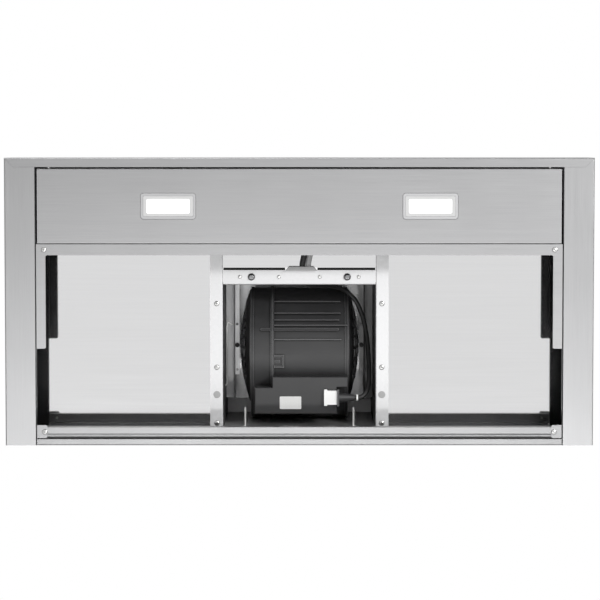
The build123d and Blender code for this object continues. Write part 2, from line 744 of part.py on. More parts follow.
def box_top_plate():
    """Roof of the blower box with the outlet's hole."""
    plate = block((-box_half, box_half), (box_ahead, -BOX_REAR), (box_top, collar_base))
    return plate - upright(Pos(0, collar_y) * Circle(collar_bore), box_top - SHEET, collar_base + SHEET)


def cross_strap():
    """Bright strap along the front of the opening, turned up behind the front wall."""
    level = strap_z - mid
    lip = box_ahead + SHEET + SEAM + mid
    section = folded((strap_front, level), (lip, level), (lip, roof_z + STRAP_LIP))
    strap = along_x(section, -box_in + SEAM, box_in - SEAM)
    return strap - screw_holes(stud_places + rivet_places, strap_z)


def domed_stud():
    """Stud with a round head, driven upwards."""
    head = Cylinder(STUD_RADIUS, STUD_HEIGHT, align=(Align.CENTER, Align.CENTER, Align.MAX))
    head = fillet(head.edges().group_by(Axis.Z)[0], STUD_HEIGHT - SHEET)
    return head + Cylinder(SCREW_RADIUS, SCREW_LENGTH, align=(Align.CENTER, Align.CENTER, Align.MIN))


def blower_bracket():
    """Right-hand stepped rail: it hangs from the box wall and its lower flange holds the buffer."""
    edge = (box_in - SEAM, axis_z + BRACKET_HEIGHT)
    inner = bracket_x - BRACKET_FLANGE
    section = folded(
        edge,
        (bracket_x, axis_z + BRACKET_HEIGHT),
        (bracket_x, axis_z),
        (inner, axis_z),
        thickness=BRACKET_SHEET,
    )
    rail = along_y(section, box_ahead + SHEET + SEAM, axis_y + BRACKET_WEB_END)
    low = (axis_z - BRACKET_SHEET, axis_z + BRACKET_SHEET + BEND)
    rail -= block((inner - SHEET, bracket_x - BRACKET_SHEET / 2), (axis_y + BRACKET_FLANGE_END, 0), low)
    drill = Cylinder(BRACKET_HOLE_RADIUS, 4 * BRACKET_SHEET)
    places = (axis_y - BRACKET_HOLE_FRONT, axis_y, axis_y + BRACKET_HOLE_REAR)
    return rail - [Pos(buffer_x, y, axis_z) * drill for y in places]


def rubber_buffer():
    """Right-hand rubber stud through the bracket's flange, beside the middle of the inlet guard."""
    reach = BRACKET_SHEET / 2
    profile = Pos(buffer_x, axis_y)
    head = upright(profile * Circle(BUFFER_HEAD_RADIUS), axis_z - reach - BUFFER_HEAD, axis_z - reach)
    stem = upright(profile * Circle(BRACKET_HOLE_RADIUS - SHAFT_FIT), axis_z - reach, axis_z + reach)
    nib = upright(profile * Circle(BUFFER_HEAD_RADIUS - SHEET), axis_z + reach, axis_z + reach + BUFFER_NIB)
    return head + stem + nib


# Blower scroll


def volute(grow, top):
    """Outline of the scroll in Y and Z: three arcs that widen by a step, then the outlet up to a height."""
    first = scroll_radius + grow
    second = first + SCROLL_STEP
    third = second + SCROLL_STEP
    rise = axis_z + SCROLL_STEP
    slant = math.sqrt(0.5)
    crown = (axis_y, axis_z + first)
    nose = (axis_y - first, axis_z)
    belly = (scroll_y, axis_z - second)
    back = (scroll_y + third, rise)
    mouth = (outlet_front - grow, top)
    curve = ThreePointArc(crown, (axis_y - first * slant, axis_z + first * slant), nose)
    curve += ThreePointArc(nose, (scroll_y - second * slant, axis_z - second * slant), belly)
    curve += ThreePointArc(belly, (scroll_y + third * slant, rise - third * slant), back)
    curve += Polyline(back, (back[0], top), mouth, crown)
    return make_face(curve)


def scroll_half_shell(end, split, ribs):
    """One half of the scroll between its side wall at end and the split, with a rim along both."""
    side = math.copysign(1, end)
    seam = split + side * SEAM / 2
    outer = along_x(volute(0, box_top), *sorted((end, seam)))
    rim = along_x(volute(SPLIT_RIM, box_top), *sorted((seam, split + side * SPLIT_RIM_WIDTH / 2)))
    lip_end = end - side * (SCROLL_WALL + INLET_LIP)
    hollow_end = end - side * SCROLL_WALL
    hollow = along_x(volute(-SCROLL_WALL, box_top + SHEET), *sorted((hollow_end, split - side * SHEET)))
    rim += along_x(volute(END_RIM, box_top), *sorted((end - side * END_RIM_WIDTH, end)))
    shell = outer + rim - hollow
    shell += bar_x(inlet_radius + SCROLL_WALL, *sorted((lip_end, hollow_end)))
    shell -= bar_x(inlet_radius, *sorted((lip_end - side * SHEET, end + side * SHEET)))
    level = (-scroll_belly - RIB_HEIGHT, -scroll_belly + SHEET)
    for angle, width, near, far in ribs:
        rib = block(sorted((near, far)), (-width / 2, width / 2), level)
        corners = rib.edges().filter_by(Axis.Z).group_by(Axis.X)[-1 if far > near else 0]
        shell += Pos(0, scroll_y, axis_z) * Rot(-angle, 0, 0) * fillet(corners, RIB_ROUND * width)
    return shell


def scroll_left():
    """Left half, with the pin boss that lines up with a rib of the right half."""
    start = SCROLL_SPLIT - SPLIT_RIM_WIDTH / 2
    ribs = [(PIN_BOSS_ANGLE, PIN_BOSS_WIDTH, start, start - PIN_BOSS_LENGTH)]
    return scroll_half_shell(-scroll_half, SCROLL_SPLIT, ribs)


def scroll_right():
    """Right half, with its cross ribs and the clip that latches over the split."""
    start = SCROLL_SPLIT + SPLIT_RIM_WIDTH / 2
    ribs = [(angle, width, start, scroll_half - inset) for angle, width, inset in RIBS]
    shell = scroll_half_shell(scroll_half, SCROLL_SPLIT, ribs)
    low = axis_z - scroll_belly
    reach = CLIP_DEPTH / 2
    inner = reach - CLIP_BAR
    far = start + CLIP_WIDTH
    clip = block((start, far), (scroll_y, scroll_y + CLIP_DEPTH), (low - CLIP_HEIGHT, low + SCROLL_WALL))
    window = (scroll_y + reach - inner, scroll_y + reach + inner)
    clip -= block((start, far - CLIP_BAR), window, (low - 2 * CLIP_HEIGHT, low))
    tongue = (scroll_y + reach - CLIP_BAR / 2, scroll_y + reach + CLIP_BAR / 2)
    clip += block((start, far - 2 * CLIP_BAR), tongue, (low - CLIP_HEIGHT / 2, low + SCROLL_WALL))
    clip -= along_x(volute(-SCROLL_WALL / 2, box_top), start - SHEET, far + SHEET)
    return shell + clip


def inlet_guard():
    """Domed grille on a flat foot, standing on Z: rings of slots between round bars."""

    def crown(radius):
        return GUARD_RIM + (GUARD_HEIGHT - GUARD_RIM) * (1 - (radius / guard_radius) ** 2)

    top = [(radius, crown(radius)) for radius in guard_rings]
    middle = (0, top[-1][1])
    under = [(radius, height - GUARD_THICKNESS) for radius, height in reversed([*top, middle])]
    rim = ((guard_radius, 0), (guard_radius, GUARD_RIM))
    section = outline(*rim, *top, middle, *under, (guard_radius - GUARD_FOOT, 0))
    dome = revolve(Plane.XZ * section, Axis.Z)
    for outer, inner, slots in zip(guard_rings, guard_rings[1:], GUARD_SLOTS):
        ring = Circle(outer - GUARD_RIB / 2) - Circle(inner + GUARD_RIB / 2)
        ring -= PolarLocations(0, slots) * Rectangle(2 * outer, GUARD_RIB)
        dome -= upright(ring, 0, GUARD_HEIGHT)
    return dome


# Fan wheel and motor


def fan_wheel():
    """Double-inlet wheel: bowed blades on both sides of a middle disc, tied by an end ring."""
    inner = WHEEL_RADIUS - BLADE_DEPTH
    outer = WHEEL_RADIUS - BLADE_THICKNESS
    sweep = math.radians(BLADE_SWEEP)
    tip = (outer * math.cos(sweep), outer * math.sin(sweep))
    belly = ((inner + tip[0]) / 2, tip[1] / 2 - BLADE_BOW)
    blade = trace(ThreePointArc((inner, 0), belly, tip), BLADE_THICKNESS)
    blades = Sketch() + [Rot(0, 0, 360 / BLADE_COUNT * step) * blade for step in range(BLADE_COUNT)]
    centre = Pos(axis_y, axis_z)
    ring = Circle(WHEEL_RADIUS) - Circle(inner - BLADE_THICKNESS)
    wheel = bar_x(WHEEL_RADIUS, -WHEEL_DISC / 2, WHEEL_DISC / 2)
    wheel += bar_x(HUB_RADIUS, -HUB_LENGTH / 2, HUB_LENGTH / 2)
    for side in (-1, 1):
        span = sorted((side * WHEEL_DISC / 2, side * (wheel_end - WHEEL_RING)))
        wheel += along_x(centre * blades, *span)
        wheel += along_x(centre * ring, *sorted((side * (wheel_end - WHEEL_RING), side * wheel_end)))
    return wheel - bar_x(SHAFT_RADIUS + HUB_FIT, -HUB_LENGTH, HUB_LENGTH)


def motor_shaft():
    """Shaft from the wheel's hub into the motor."""
    return bar_x(SHAFT_RADIUS, -HUB_LENGTH / 2 - SHAFT_PROUD, motor_left + SHAFT_GRIP)


def motor():
    """Motor with a stepped cap at each end and the bore that its shaft runs in."""
    body = bar_x(MOTOR_RADIUS, motor_left + 2 * MOTOR_CAP_STEP, scroll_half - MOTOR_CAP_STEP)
    body += bar_x(MOTOR_RADIUS - MOTOR_CAP, motor_left + MOTOR_CAP_STEP, scroll_half)
    body += bar_x(MOTOR_BOSS, motor_left, scroll_half)
    return body - bar_x(SHAFT_RADIUS + SHAFT_FIT, motor_left - SHEET, motor_left + SHAFT_GRIP + SHEET)


def motor_spider():
    """Four arms that hang the motor in the right-hand inlet."""
    ring = Circle(spider_radius) - Circle(inlet_radius)
    arms = PolarLocations(0, SPIDER_ARMS) * Rectangle(2 * inlet_radius + SPIDER_THICKNESS, SPIDER_ARM)
    plan = Circle(SPIDER_HUB) + ring + arms
    return along_x(Pos(axis_y, axis_z) * plan, scroll_half, scroll_half + SPIDER_THICKNESS)


# Terminal box, plug and leads


def terminal_box():
    """Cover under the scroll with a step at its left and a notch for the plug's boot."""
    right = -TERMINAL_STEP
    plan = outline(
        (SCROLL_SPLIT, -TERMINAL_FRONT),
        (TERMINAL_RIGHT, -TERMINAL_FRONT),
        (TERMINAL_RIGHT, right),
        (TERMINAL_NOTCH, right),
        (TERMINAL_NOTCH, -TERMINAL_REAR),
        (-TERMINAL_LEFT, -TERMINAL_REAR),
        (-TERMINAL_LEFT, right),
        (SCROLL_SPLIT, right),
    )
    cover = upright(plan, terminal_z, terminal_z + TERMINAL_DEPTH)
    cover = fillet(cover.faces().sort_by(Axis.Z)[0].edges(), TERMINAL_ROUND)
    cover -= along_x(volute(TERMINAL_FIT, box_top), -scroll_half, scroll_half)
    end_rim = scroll_half - END_RIM_WIDTH - TERMINAL_FIT
    cover -= along_x(volute(END_RIM + TERMINAL_FIT, box_top), end_rim, scroll_half)
    split_rim = volute(SPLIT_RIM + TERMINAL_FIT, box_top)
    reach = SPLIT_RIM_WIDTH / 2 + TERMINAL_FIT
    return cover - along_x(split_rim, SCROLL_SPLIT - reach, SCROLL_SPLIT + reach)


def motor_plug():
    """Pale plug on the face of the terminal box, wider at its shoulder."""
    left = TERMINAL_NOTCH - PLUG_WIDTH
    reach = PLUG_DEPTH / 2
    level = (terminal_z - PLUG_DROP, terminal_z)
    body = block((left, TERMINAL_NOTCH), (-PLUG_TO_WALL - reach, -PLUG_TO_WALL + reach), level)
    reach += PLUG_SHOULDER_STEP
    return body + block((left, left + PLUG_SHOULDER), (-PLUG_TO_WALL - reach, -PLUG_TO_WALL + reach), level)


def plug_boot():
    """Plate and tapered boot that lead the cable out of the plug."""
    y = (-PLUG_TO_WALL - BOOT_PLATE_DEPTH / 2, -PLUG_TO_WALL + BOOT_PLATE_DEPTH / 2)
    z = (plug_z - BOOT_PLATE_HEIGHT / 2, plug_z + BOOT_PLATE_HEIGHT / 2)
    plate = block((TERMINAL_NOTCH + SEAM, boot_left), y, z)
    ends = [Plane.YZ.offset(boot_left) * Pos(-PLUG_TO_WALL, plug_z) * Circle(BOOT_START)]
    ends.append(Plane.YZ.offset(boot_right) * Pos(-PLUG_TO_WALL, plug_z) * Circle(BOOT_END))
    return plate + loft(ends)


def cable(points, radius):
    """A round lead whose bends are as wide as the runs beside them allow."""
    stops = [Vector(*point) for point in points]
    runs = [after - before for before, after in zip(stops, stops[1:])]
    radii = []
    for before, after in zip(runs, runs[1:]):
        half_turn = math.radians(before.get_angle(after) / 2)
        radii.append(LEAD_ROUND * min(before.length, after.length) / math.tan(half_turn))
    path = FilletPolyline(*stops, radius=radii)
    lead = sweep(Plane(path @ 0, z_dir=path % 0) * Circle(radius), path)
    bends = [round(bend / (2 * radius), 1) for bend in radii]
    ratio = lead.volume / (math.pi * radius**2 * path.length)
    print(f"lead {path.length:.0f} mm long, bends in diameters {bends}, volume ratio {ratio:.4f}")
    return lead


def motor_cable():
    """From the boot up the right side of the blower, across its front and down to the grommet."""
    end_z = CANOPY_HEIGHT + GROMMET_RISE - 2 * CABLE_RADIUS

    def inside(from_wall, along, drop):
        return (box_in - from_wall, axis_y + along, axis_z - drop)

    points = [
        (boot_right, -PLUG_TO_WALL, plug_z),
        (boot_right + 11, -PLUG_TO_WALL, plug_z),
        inside(13, 65, 126),
        inside(9, 50, 113),
        inside(8.5, 28, 94),
        inside(9.5, 2, 77),
        inside(12.5, -26, 64),
        inside(18.5, -53, 56),
        inside(29.5, -77, 54),
        inside(45.5, -93, 59),
        inside(65.5, -100, 74),
        inside(84.5, -102, 96),
        inside(100.5, -103, 117),
        inside(108.5, -108, 129),
        inside(113, -115, 137.5),
        (CABLE_PLACE, grommet_rear + 7, end_z),
        (CABLE_PLACE, grommet_rear, end_z),
    ]
    return cable(points, CABLE_RADIUS)


def front_lead(x):
    """From the grommet slantwise above the light panel to the back of the control box."""
    start = Vector(x, grommet_front, lead_z)
    end = Vector(x + 12, control_rear, BUTTON_HEIGHT)
    points = [
        start,
        start + Vector(0, -4, 0),
        start + Vector(5, -28, 0),
        start + Vector(9, -54, -10),
        start + Vector(11, -80, -32),
        end + Vector(0, 22, 0),
        end,
    ]
    return cable([tuple(point) for point in points], LEAD_RADIUS)


def cable_tie():
    """Tie round the cable just outside the boot."""
    inner = CABLE_RADIUS + TIE_FIT
    start = boot_right + TIE_OFFSET
    ring = Circle(inner + TIE_WALL) - Circle(inner)
    return along_x(Pos(-PLUG_TO_WALL, plug_z) * ring, start, start + TIE_WIDTH)


def cable_grommet():
    """Block in the roof's slot that holds the leads, with a lip under the roof panel."""
    left, right = GROMMET_MIDDLE - GROMMET_WIDTH / 2, GROMMET_MIDDLE + GROMMET_WIDTH / 2
    low = roof_z - GROMMET_DROP
    inner = (left + GROMMET_SLOPE, right - GROMMET_SLOPE)
    neck = block(inner, (opening_front + SEAM, grommet_rear), (low, CANOPY_HEIGHT + GROMMET_RISE))
    lip = outline(
        (left, grommet_rear),
        (right, grommet_rear),
        (right - GROMMET_SLOPE, grommet_front),
        (left + GROMMET_SLOPE, grommet_front),
    )
    return neck + upright(lip, low, roof_z - SEAM)


# Outlet collar and damper


def duct_collar():
    """Collar for the duct, with a ledge under the closed flaps and a flange cut off at the wall side."""
    centre = Pos(0, collar_y)
    bore = Circle(collar_bore)
    flange = centre * (Circle(COLLAR_RADIUS + COLLAR_FLANGE) - bore)
    collar = upright(flange, collar_base, collar_base + COLLAR_WALL)
    side = COLLAR_RADIUS + COLLAR_FLANGE
    collar -= block((-side, side), (-BOX_REAR, side), (collar_base - SHEET, collar_base + 2 * COLLAR_WALL))
    collar += upright(centre * (Circle(COLLAR_RADIUS) - bore), collar_base, collar_base + COLLAR_HEIGHT)
    ledge = pin_z - FLAP_THICKNESS / 2 - FLAP_SEAT
    stop = centre * (bore - Circle(collar_bore - FLAP_STOP))
    collar += upright(stop, ledge - FLAP_STOP_HEIGHT, ledge)
    return collar - bar_x(PIN_RADIUS + PIN_FIT, -2 * COLLAR_RADIUS, 2 * COLLAR_RADIUS, collar_y, pin_z)


def damper_flap(side, spans):
    """Half-round flap behind (1) or in front of (-1) the pin, with knuckles over the given spans of X."""
    reach = collar_bore - FLAP_GAP
    clear = KNUCKLE_RADIUS + KNUCKLE_GAP
    level = (pin_z - FLAP_THICKNESS / 2, pin_z + FLAP_THICKNESS / 2)
    disc = upright(Pos(0, collar_y) * Circle(reach), *level)
    plate = disc & block((-reach, reach), sorted((collar_y + side * clear, collar_y + side * reach)), level)
    for span in spans:
        plate += bar_x(KNUCKLE_RADIUS, *span, collar_y, pin_z)
        plate += block(span, sorted((collar_y, collar_y + side * (clear + SHEET))), level)
    return plate - bar_x(PIN_RADIUS + PIN_FIT, -reach, reach, collar_y, pin_z)


# Chimney


def chimney_sleeve(side, ahead, rear, bottom, top):
    """Folded three-sided sleeve with a flange along each rear edge, given by its outer faces."""
    flange = side - CHIMNEY_FLANGE
    edge = side - mid
    back = rear - mid
    right = [(edge, ahead + mid), (edge, back), (flange, back)]
    plan = folded(*[(-x, y) for x, y in reversed(right)], *right)
    return upright(plan, bottom, top)


def chimney_lower():
    """Outer sleeve with a narrow foot turned in over the canopy's roof."""
    sleeve = chimney_sleeve(chimney_half, chimney_front, 0, CANOPY_HEIGHT, chimney_top)
    inner = chimney_half - CHIMNEY_FOOT
    level = (CANOPY_HEIGHT, CANOPY_HEIGHT + SHEET)
    ahead = chimney_front + mid
    foot = block((-chimney_half + mid, chimney_half - mid), (ahead, -mid), level)
    return sleeve + (foot - block((-inner, inner), (chimney_front + CHIMNEY_FOOT, SHEET), level))


def chimney_upper():
    """Inner sleeve that slides up, with vent slots near its top."""
    sleeve = chimney_sleeve(upper_half, upper_front, upper_rear, upper_bottom, upper_top)
    middle = (upper_front + upper_rear) / 2
    for step in range(VENT_COUNT):
        z = upper_top - VENT_TOP - VENT_PITCH * step
        slot = Pos(middle, z) * SlotOverall(VENT_LENGTH, VENT_HEIGHT)
        sleeve -= along_x(slot, -chimney_half, chimney_half)
    return sleeve - [bar_x(SCREW_RADIUS + SCREW_FIT, -chimney_half, chimney_half, tab_y, tab_z)]


def wall_bracket():
    """Bent strip that holds the upper chimney to the wall: tabs at its ends, two holes in its back."""
    thickness = WALL_BRACKET_SHEET
    tab = upper_half - SHEET - SEAM - thickness / 2
    leg = upper_half - CHIMNEY_FLANGE - SLIDE_GAP - thickness
    back = -thickness / 2
    step = -WALL_BRACKET_STEP
    right = [(tab, step - WALL_BRACKET_TAB), (tab, step), (leg, step), (leg, back)]
    plan = folded(*right, *[(-x, y) for x, y in reversed(right)], thickness=thickness)
    strip = upright(plan, upper_top - WALL_BRACKET_HEIGHT, upper_top)
    strip -= bar_x(SCREW_RADIUS + SCREW_FIT, -chimney_half, chimney_half, tab_y, tab_z)
    holes = both_sides((WALL_BRACKET_HOLES / 2, tab_z))
    return strip - [bar_y(WALL_BRACKET_HOLE_RADIUS, -2 * thickness, thickness, x, z) for x, z in holes]


def chimney_screw():
    """Right-hand screw through the upper chimney into the bracket's tab."""
    return Pos(upper_half, tab_y, tab_z) * Rot(0, -90, 0) * fastener(SCREW_HEAD_RADIUS, SCREW_HEAD_HEIGHT)


at_lamp = Pos(LAMP_SPACING / 2, lamp_y, 0)
screw = fastener(SCREW_HEAD_RADIUS, SCREW_HEAD_HEIGHT)
rivet = fastener(RIVET_HEAD_RADIUS, RIVET_HEAD_HEIGHT)
plug_disc = fastener(PLUG_DISC_RADIUS, PLUG_DISC_HEIGHT)
corner_places = rest_screw_places + rail_screw_places
guard = Rot(0, 90, 0) * inlet_guard()

nodes = {
    "front_panel": front_panel(),
    "side_panel_right": side_panel(),
    "side_panel_left": opposite(side_panel()),
    "rear_panel": rear_panel(),
    "roof_panel": roof_panel(),
    "light_panel": light_panel(),
    "lamp_bezels": pair(at_lamp * lamp_bezel()),
    "lamp_modules": pair(at_lamp * lamp_module()),
    "lamp_lenses": pair(at_lamp * lamp_lens()),
    "filter_rest": filter_rest(),
    "rear_rail": rear_rail(),
    "rail_brackets": pair(rail_bracket()),
    "corner_screws": group(fasteners(screw, corner_places, RECESS)),
    "hook_brackets": pair(hook_bracket()),
    "adjusting_screws": adjusters(),
    "control_box": control_box(),
    "control_board": control_board(),
    "button_bezel": button_bezel(),
    "box_side_right": box_side(),
    "box_side_left": opposite(box_side()),
    "box_front": box_front(),
    "box_rear": box_rear(),
    "box_top": box_top_plate(),
    "cross_strap": cross_strap(),
    "strap_studs": group(fasteners(domed_stud(), stud_places, strap_z - SHEET)),
    "strap_rivets": group(fasteners(rivet, rivet_places, strap_z - SHEET)),
    "strip_screws": group(fasteners(screw, strip_screw_places, strap_z)),
    "hole_plugs": group(fasteners(plug_disc, plug_disc_places, strap_z)),
    "blower_bracket_right": blower_bracket(),
    "blower_bracket_left": opposite(blower_bracket()),
    "rubber_buffers": pair(rubber_buffer()),
    "scroll_left": scroll_left(),
    "scroll_right": scroll_right(),
    "inlet_guard_right": Pos(scroll_half, axis_y, axis_z) * guard,
    "inlet_guard_left": opposite(Pos(scroll_half, axis_y, axis_z) * guard),
    "fan_wheel": fan_wheel(),
    "motor_shaft": motor_shaft(),
    "motor": motor(),
    "motor_spider": motor_spider(),
    "terminal_box": terminal_box(),
    "motor_plug": motor_plug(),
    "plug_boot": plug_boot(),
    "motor_cable": motor_cable(),
    "cable_tie": cable_tie(),
    "cable_grommet": cable_grommet(),
    "control_lead": front_lead(LEAD_PLACES[0]),
    "lamp_lead": front_lead(LEAD_PLACES[1]),
    "duct_collar": duct_collar(),
    "damper_pin": bar_x(PIN_RADIUS, -COLLAR_RADIUS, COLLAR_RADIUS, collar_y, pin_z),
    "damper_flap_rear": damper_flap(1, [(-KNUCKLE_INNER, KNUCKLE_INNER)]),
    "chimney_lower": chimney_lower(),
    "chimney_upper": chimney_upper(),
    "chimney_bracket": wall_bracket(),
    "chimney_screws": pair(chimney_screw()),
}
outer_knuckle = (KNUCKLE_INNER + KNUCKLE_GAP, KNUCKLE_OUTER)
nodes["damper_flap_front"] = damper_flap(-1, [outer_knuckle, (-outer_knuckle[1], -outer_knuckle[0])])
for name, x in button_places():
    nodes[f"button_{name}"] = button(x)

os.makedirs("parts", exist_ok=True)
for name, shape in nodes.items():
    export_step(Pos(0, 0, -WALL_HOLE_HEIGHT) * shape, f"parts/{name}.step")
print(len(nodes), "nodes written")
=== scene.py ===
"""Finishes, small fasteners and the studio of a wall-hung range hood.

Metres, X right, Y to the wall, Z up.
"""

import math

import bmesh
import bpy
from bpy.props import FloatProperty, FloatVectorProperty, IntProperty, PointerProperty
from mathutils import Matrix, Vector


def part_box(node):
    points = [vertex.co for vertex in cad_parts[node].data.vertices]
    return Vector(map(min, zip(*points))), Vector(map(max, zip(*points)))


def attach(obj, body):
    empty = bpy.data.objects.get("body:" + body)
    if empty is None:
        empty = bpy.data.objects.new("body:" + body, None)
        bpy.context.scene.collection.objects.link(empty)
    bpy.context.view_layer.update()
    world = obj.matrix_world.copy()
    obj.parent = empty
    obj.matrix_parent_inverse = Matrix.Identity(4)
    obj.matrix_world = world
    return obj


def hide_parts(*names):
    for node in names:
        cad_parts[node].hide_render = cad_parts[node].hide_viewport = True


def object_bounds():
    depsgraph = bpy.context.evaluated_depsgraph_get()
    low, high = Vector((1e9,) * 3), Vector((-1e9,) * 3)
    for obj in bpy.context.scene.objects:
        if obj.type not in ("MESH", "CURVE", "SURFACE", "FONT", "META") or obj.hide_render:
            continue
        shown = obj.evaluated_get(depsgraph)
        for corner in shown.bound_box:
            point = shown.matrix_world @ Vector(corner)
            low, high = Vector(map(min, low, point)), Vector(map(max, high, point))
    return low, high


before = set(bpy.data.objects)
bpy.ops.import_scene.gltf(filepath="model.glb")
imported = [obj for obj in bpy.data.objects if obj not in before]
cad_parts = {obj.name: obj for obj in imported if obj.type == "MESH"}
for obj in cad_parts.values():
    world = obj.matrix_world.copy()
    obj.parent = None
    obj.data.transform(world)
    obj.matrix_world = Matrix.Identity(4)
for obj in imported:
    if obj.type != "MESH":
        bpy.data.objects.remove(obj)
CAD_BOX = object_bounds()

bl_info = {
    "name": "Range hood",
    "version": (1, 0, 0),
    "blender": (4, 5, 0),
    "location": "View3D > Sidebar > Range hood",
    "description": "Finishes, fasteners and studio for a wall-hung range hood",
    "category": "Object",
}

SENSOR_WIDTH = 36.0  # millimetres, across the picture
CAMERA_REACH = 1000.0  # metres, as far as the camera sees
SHARP_ANGLE = math.radians(35)  # edges that turn more than this stay sharp
QUARTER_TURN = [math.pi / 2 * step / 6 for step in range(7)]  # from the top of a domed head to its edge
HALF_TURN = [math.pi * step / 8 for step in range(9)]  # round the underside of the foam strip
CORNER_STEPS = 4  # facets of a round corner
THREAD_ROWS = 4  # rows of faces in each turn of a thread
SLOT_REACH = 0.01  # metres, the widest that the slot in front of the strap may be

# Nodes of the frame that share a finish
GRAIN_ALONG_X = ("front_panel", "filter_rest", "light_panel")
GRAIN_ALONG_Y = ("side_panel_left", "side_panel_right")
RAIL_PIECES = ("rear_rail", "rail_brackets")
CHIMNEY_SHEETS = ("chimney_lower", "chimney_upper")
BRIGHT_ZINC = ("cross_strap", "hook_brackets", "chimney_bracket")
INNER_ZINC = ("box_rear", "box_front")
BOX_SIDES = ("box_side_left", "box_side_right")
BLOWER_MOULDINGS = (
    "scroll_left",
    "scroll_right",
    "inlet_guard_left",
    "inlet_guard_right",
    "fan_wheel",
    "motor_spider",
    "terminal_box",
    "plug_boot",
)
OUTLET_MOULDINGS = ("duct_collar", "damper_flap_front", "damper_flap_rear")
BUTTONS = ("button_light", "button_off", "button_low", "button_medium", "button_high")

# Skins of the small mouldings: their blur, the swing of their tone,
# and the size and depth of their grain in metres
BUTTON_SKIN = {"roughness": 0.35, "grain": 0.0005, "swing": 0.04}
BEZEL_SKIN = {"roughness": 0.3, "grain": 0.0007}
LAMP_SKIN = {"roughness": 0.4, "grain": 0.0006, "swing": 0.03}
DISC_SKIN = {"roughness": 0.5, "grain": 0.0006, "swing": 0.05}
BUFFER_SKIN = {"roughness": 0.6, "grain": 0.0008}
LEAD_SKIN = {"roughness": 0.48, "grain": 0.0008}
PALE_LEAD_SKIN = {"roughness": 0.5, "grain": 0.0008, "swing": 0.06}
PLUG_SKIN = {"roughness": 0.42, "grain": 0.0006, "swing": 0.03}
WIRE_SKIN = {"roughness": 0.5, "grain": 0.0006, "swing": 0.04}
FOAM_SKIN = {"roughness": 0.85, "grain": 0.0012, "swing": 0.2, "depth": 0.0001}

# Blur of the small metal pieces
SATIN_BLUR = 0.4
SCREW_BLUR = 0.3
GROUND_BLUR = 0.22

# The wire clip, in metres: its hooked end as (from the wall, along Y),
# its straight run and its foot along Y
CLIP_HOOK = ((0.011, -0.168), (0.004, -0.172))
CLIP_RUN = (-0.166, -0.073)
CLIP_FOOT = -0.069

# The lamps, in metres: name, place, what it is aimed at, width and height
LAMPS = (
    ("wall", (0.1, 0.9, -2.2), "underside", (2.5, 0.8)),
    ("floor", (-0.02, 0.98, -6.0), "underside", (2.8, 0.3)),
    ("side", (2.1, -1.4, -3.7), "underside", (0.5, 0.5)),
    ("front", (-0.3, -2.6, -1.5), "underside", (0.9, 0.9)),
    ("key", (-1.6, -2.6, 2.4), "middle", (2.2, 2.2)),
    ("fill", (2.6, 0.6, 1.8), "middle", (2.0, 2.0)),
)
UNDERSIDE_Y = -0.15  # metres, where the low lamps are aimed


def colour(name, description, default):
    """Property for a linear colour."""
    return FloatVectorProperty(
        name=name, description=description, subtype="COLOR", size=3, min=0.0, max=1.0, default=default
    )


def share(name, description, default):
    """Property for a number from 0 to 1."""
    return FloatProperty(
        name=name, description=description, subtype="FACTOR", min=0.0, max=1.0, default=default
    )


def length(name, description, default):
    """Property for a size in metres."""
    return FloatProperty(
        name=name, description=description, subtype="DISTANCE", unit="LENGTH", default=default, precision=5
    )


def power(name, description, default):
    """Property for a lamp's power in watts."""
    return FloatProperty(name=name, description=description, unit="POWER", min=0.0, default=default)


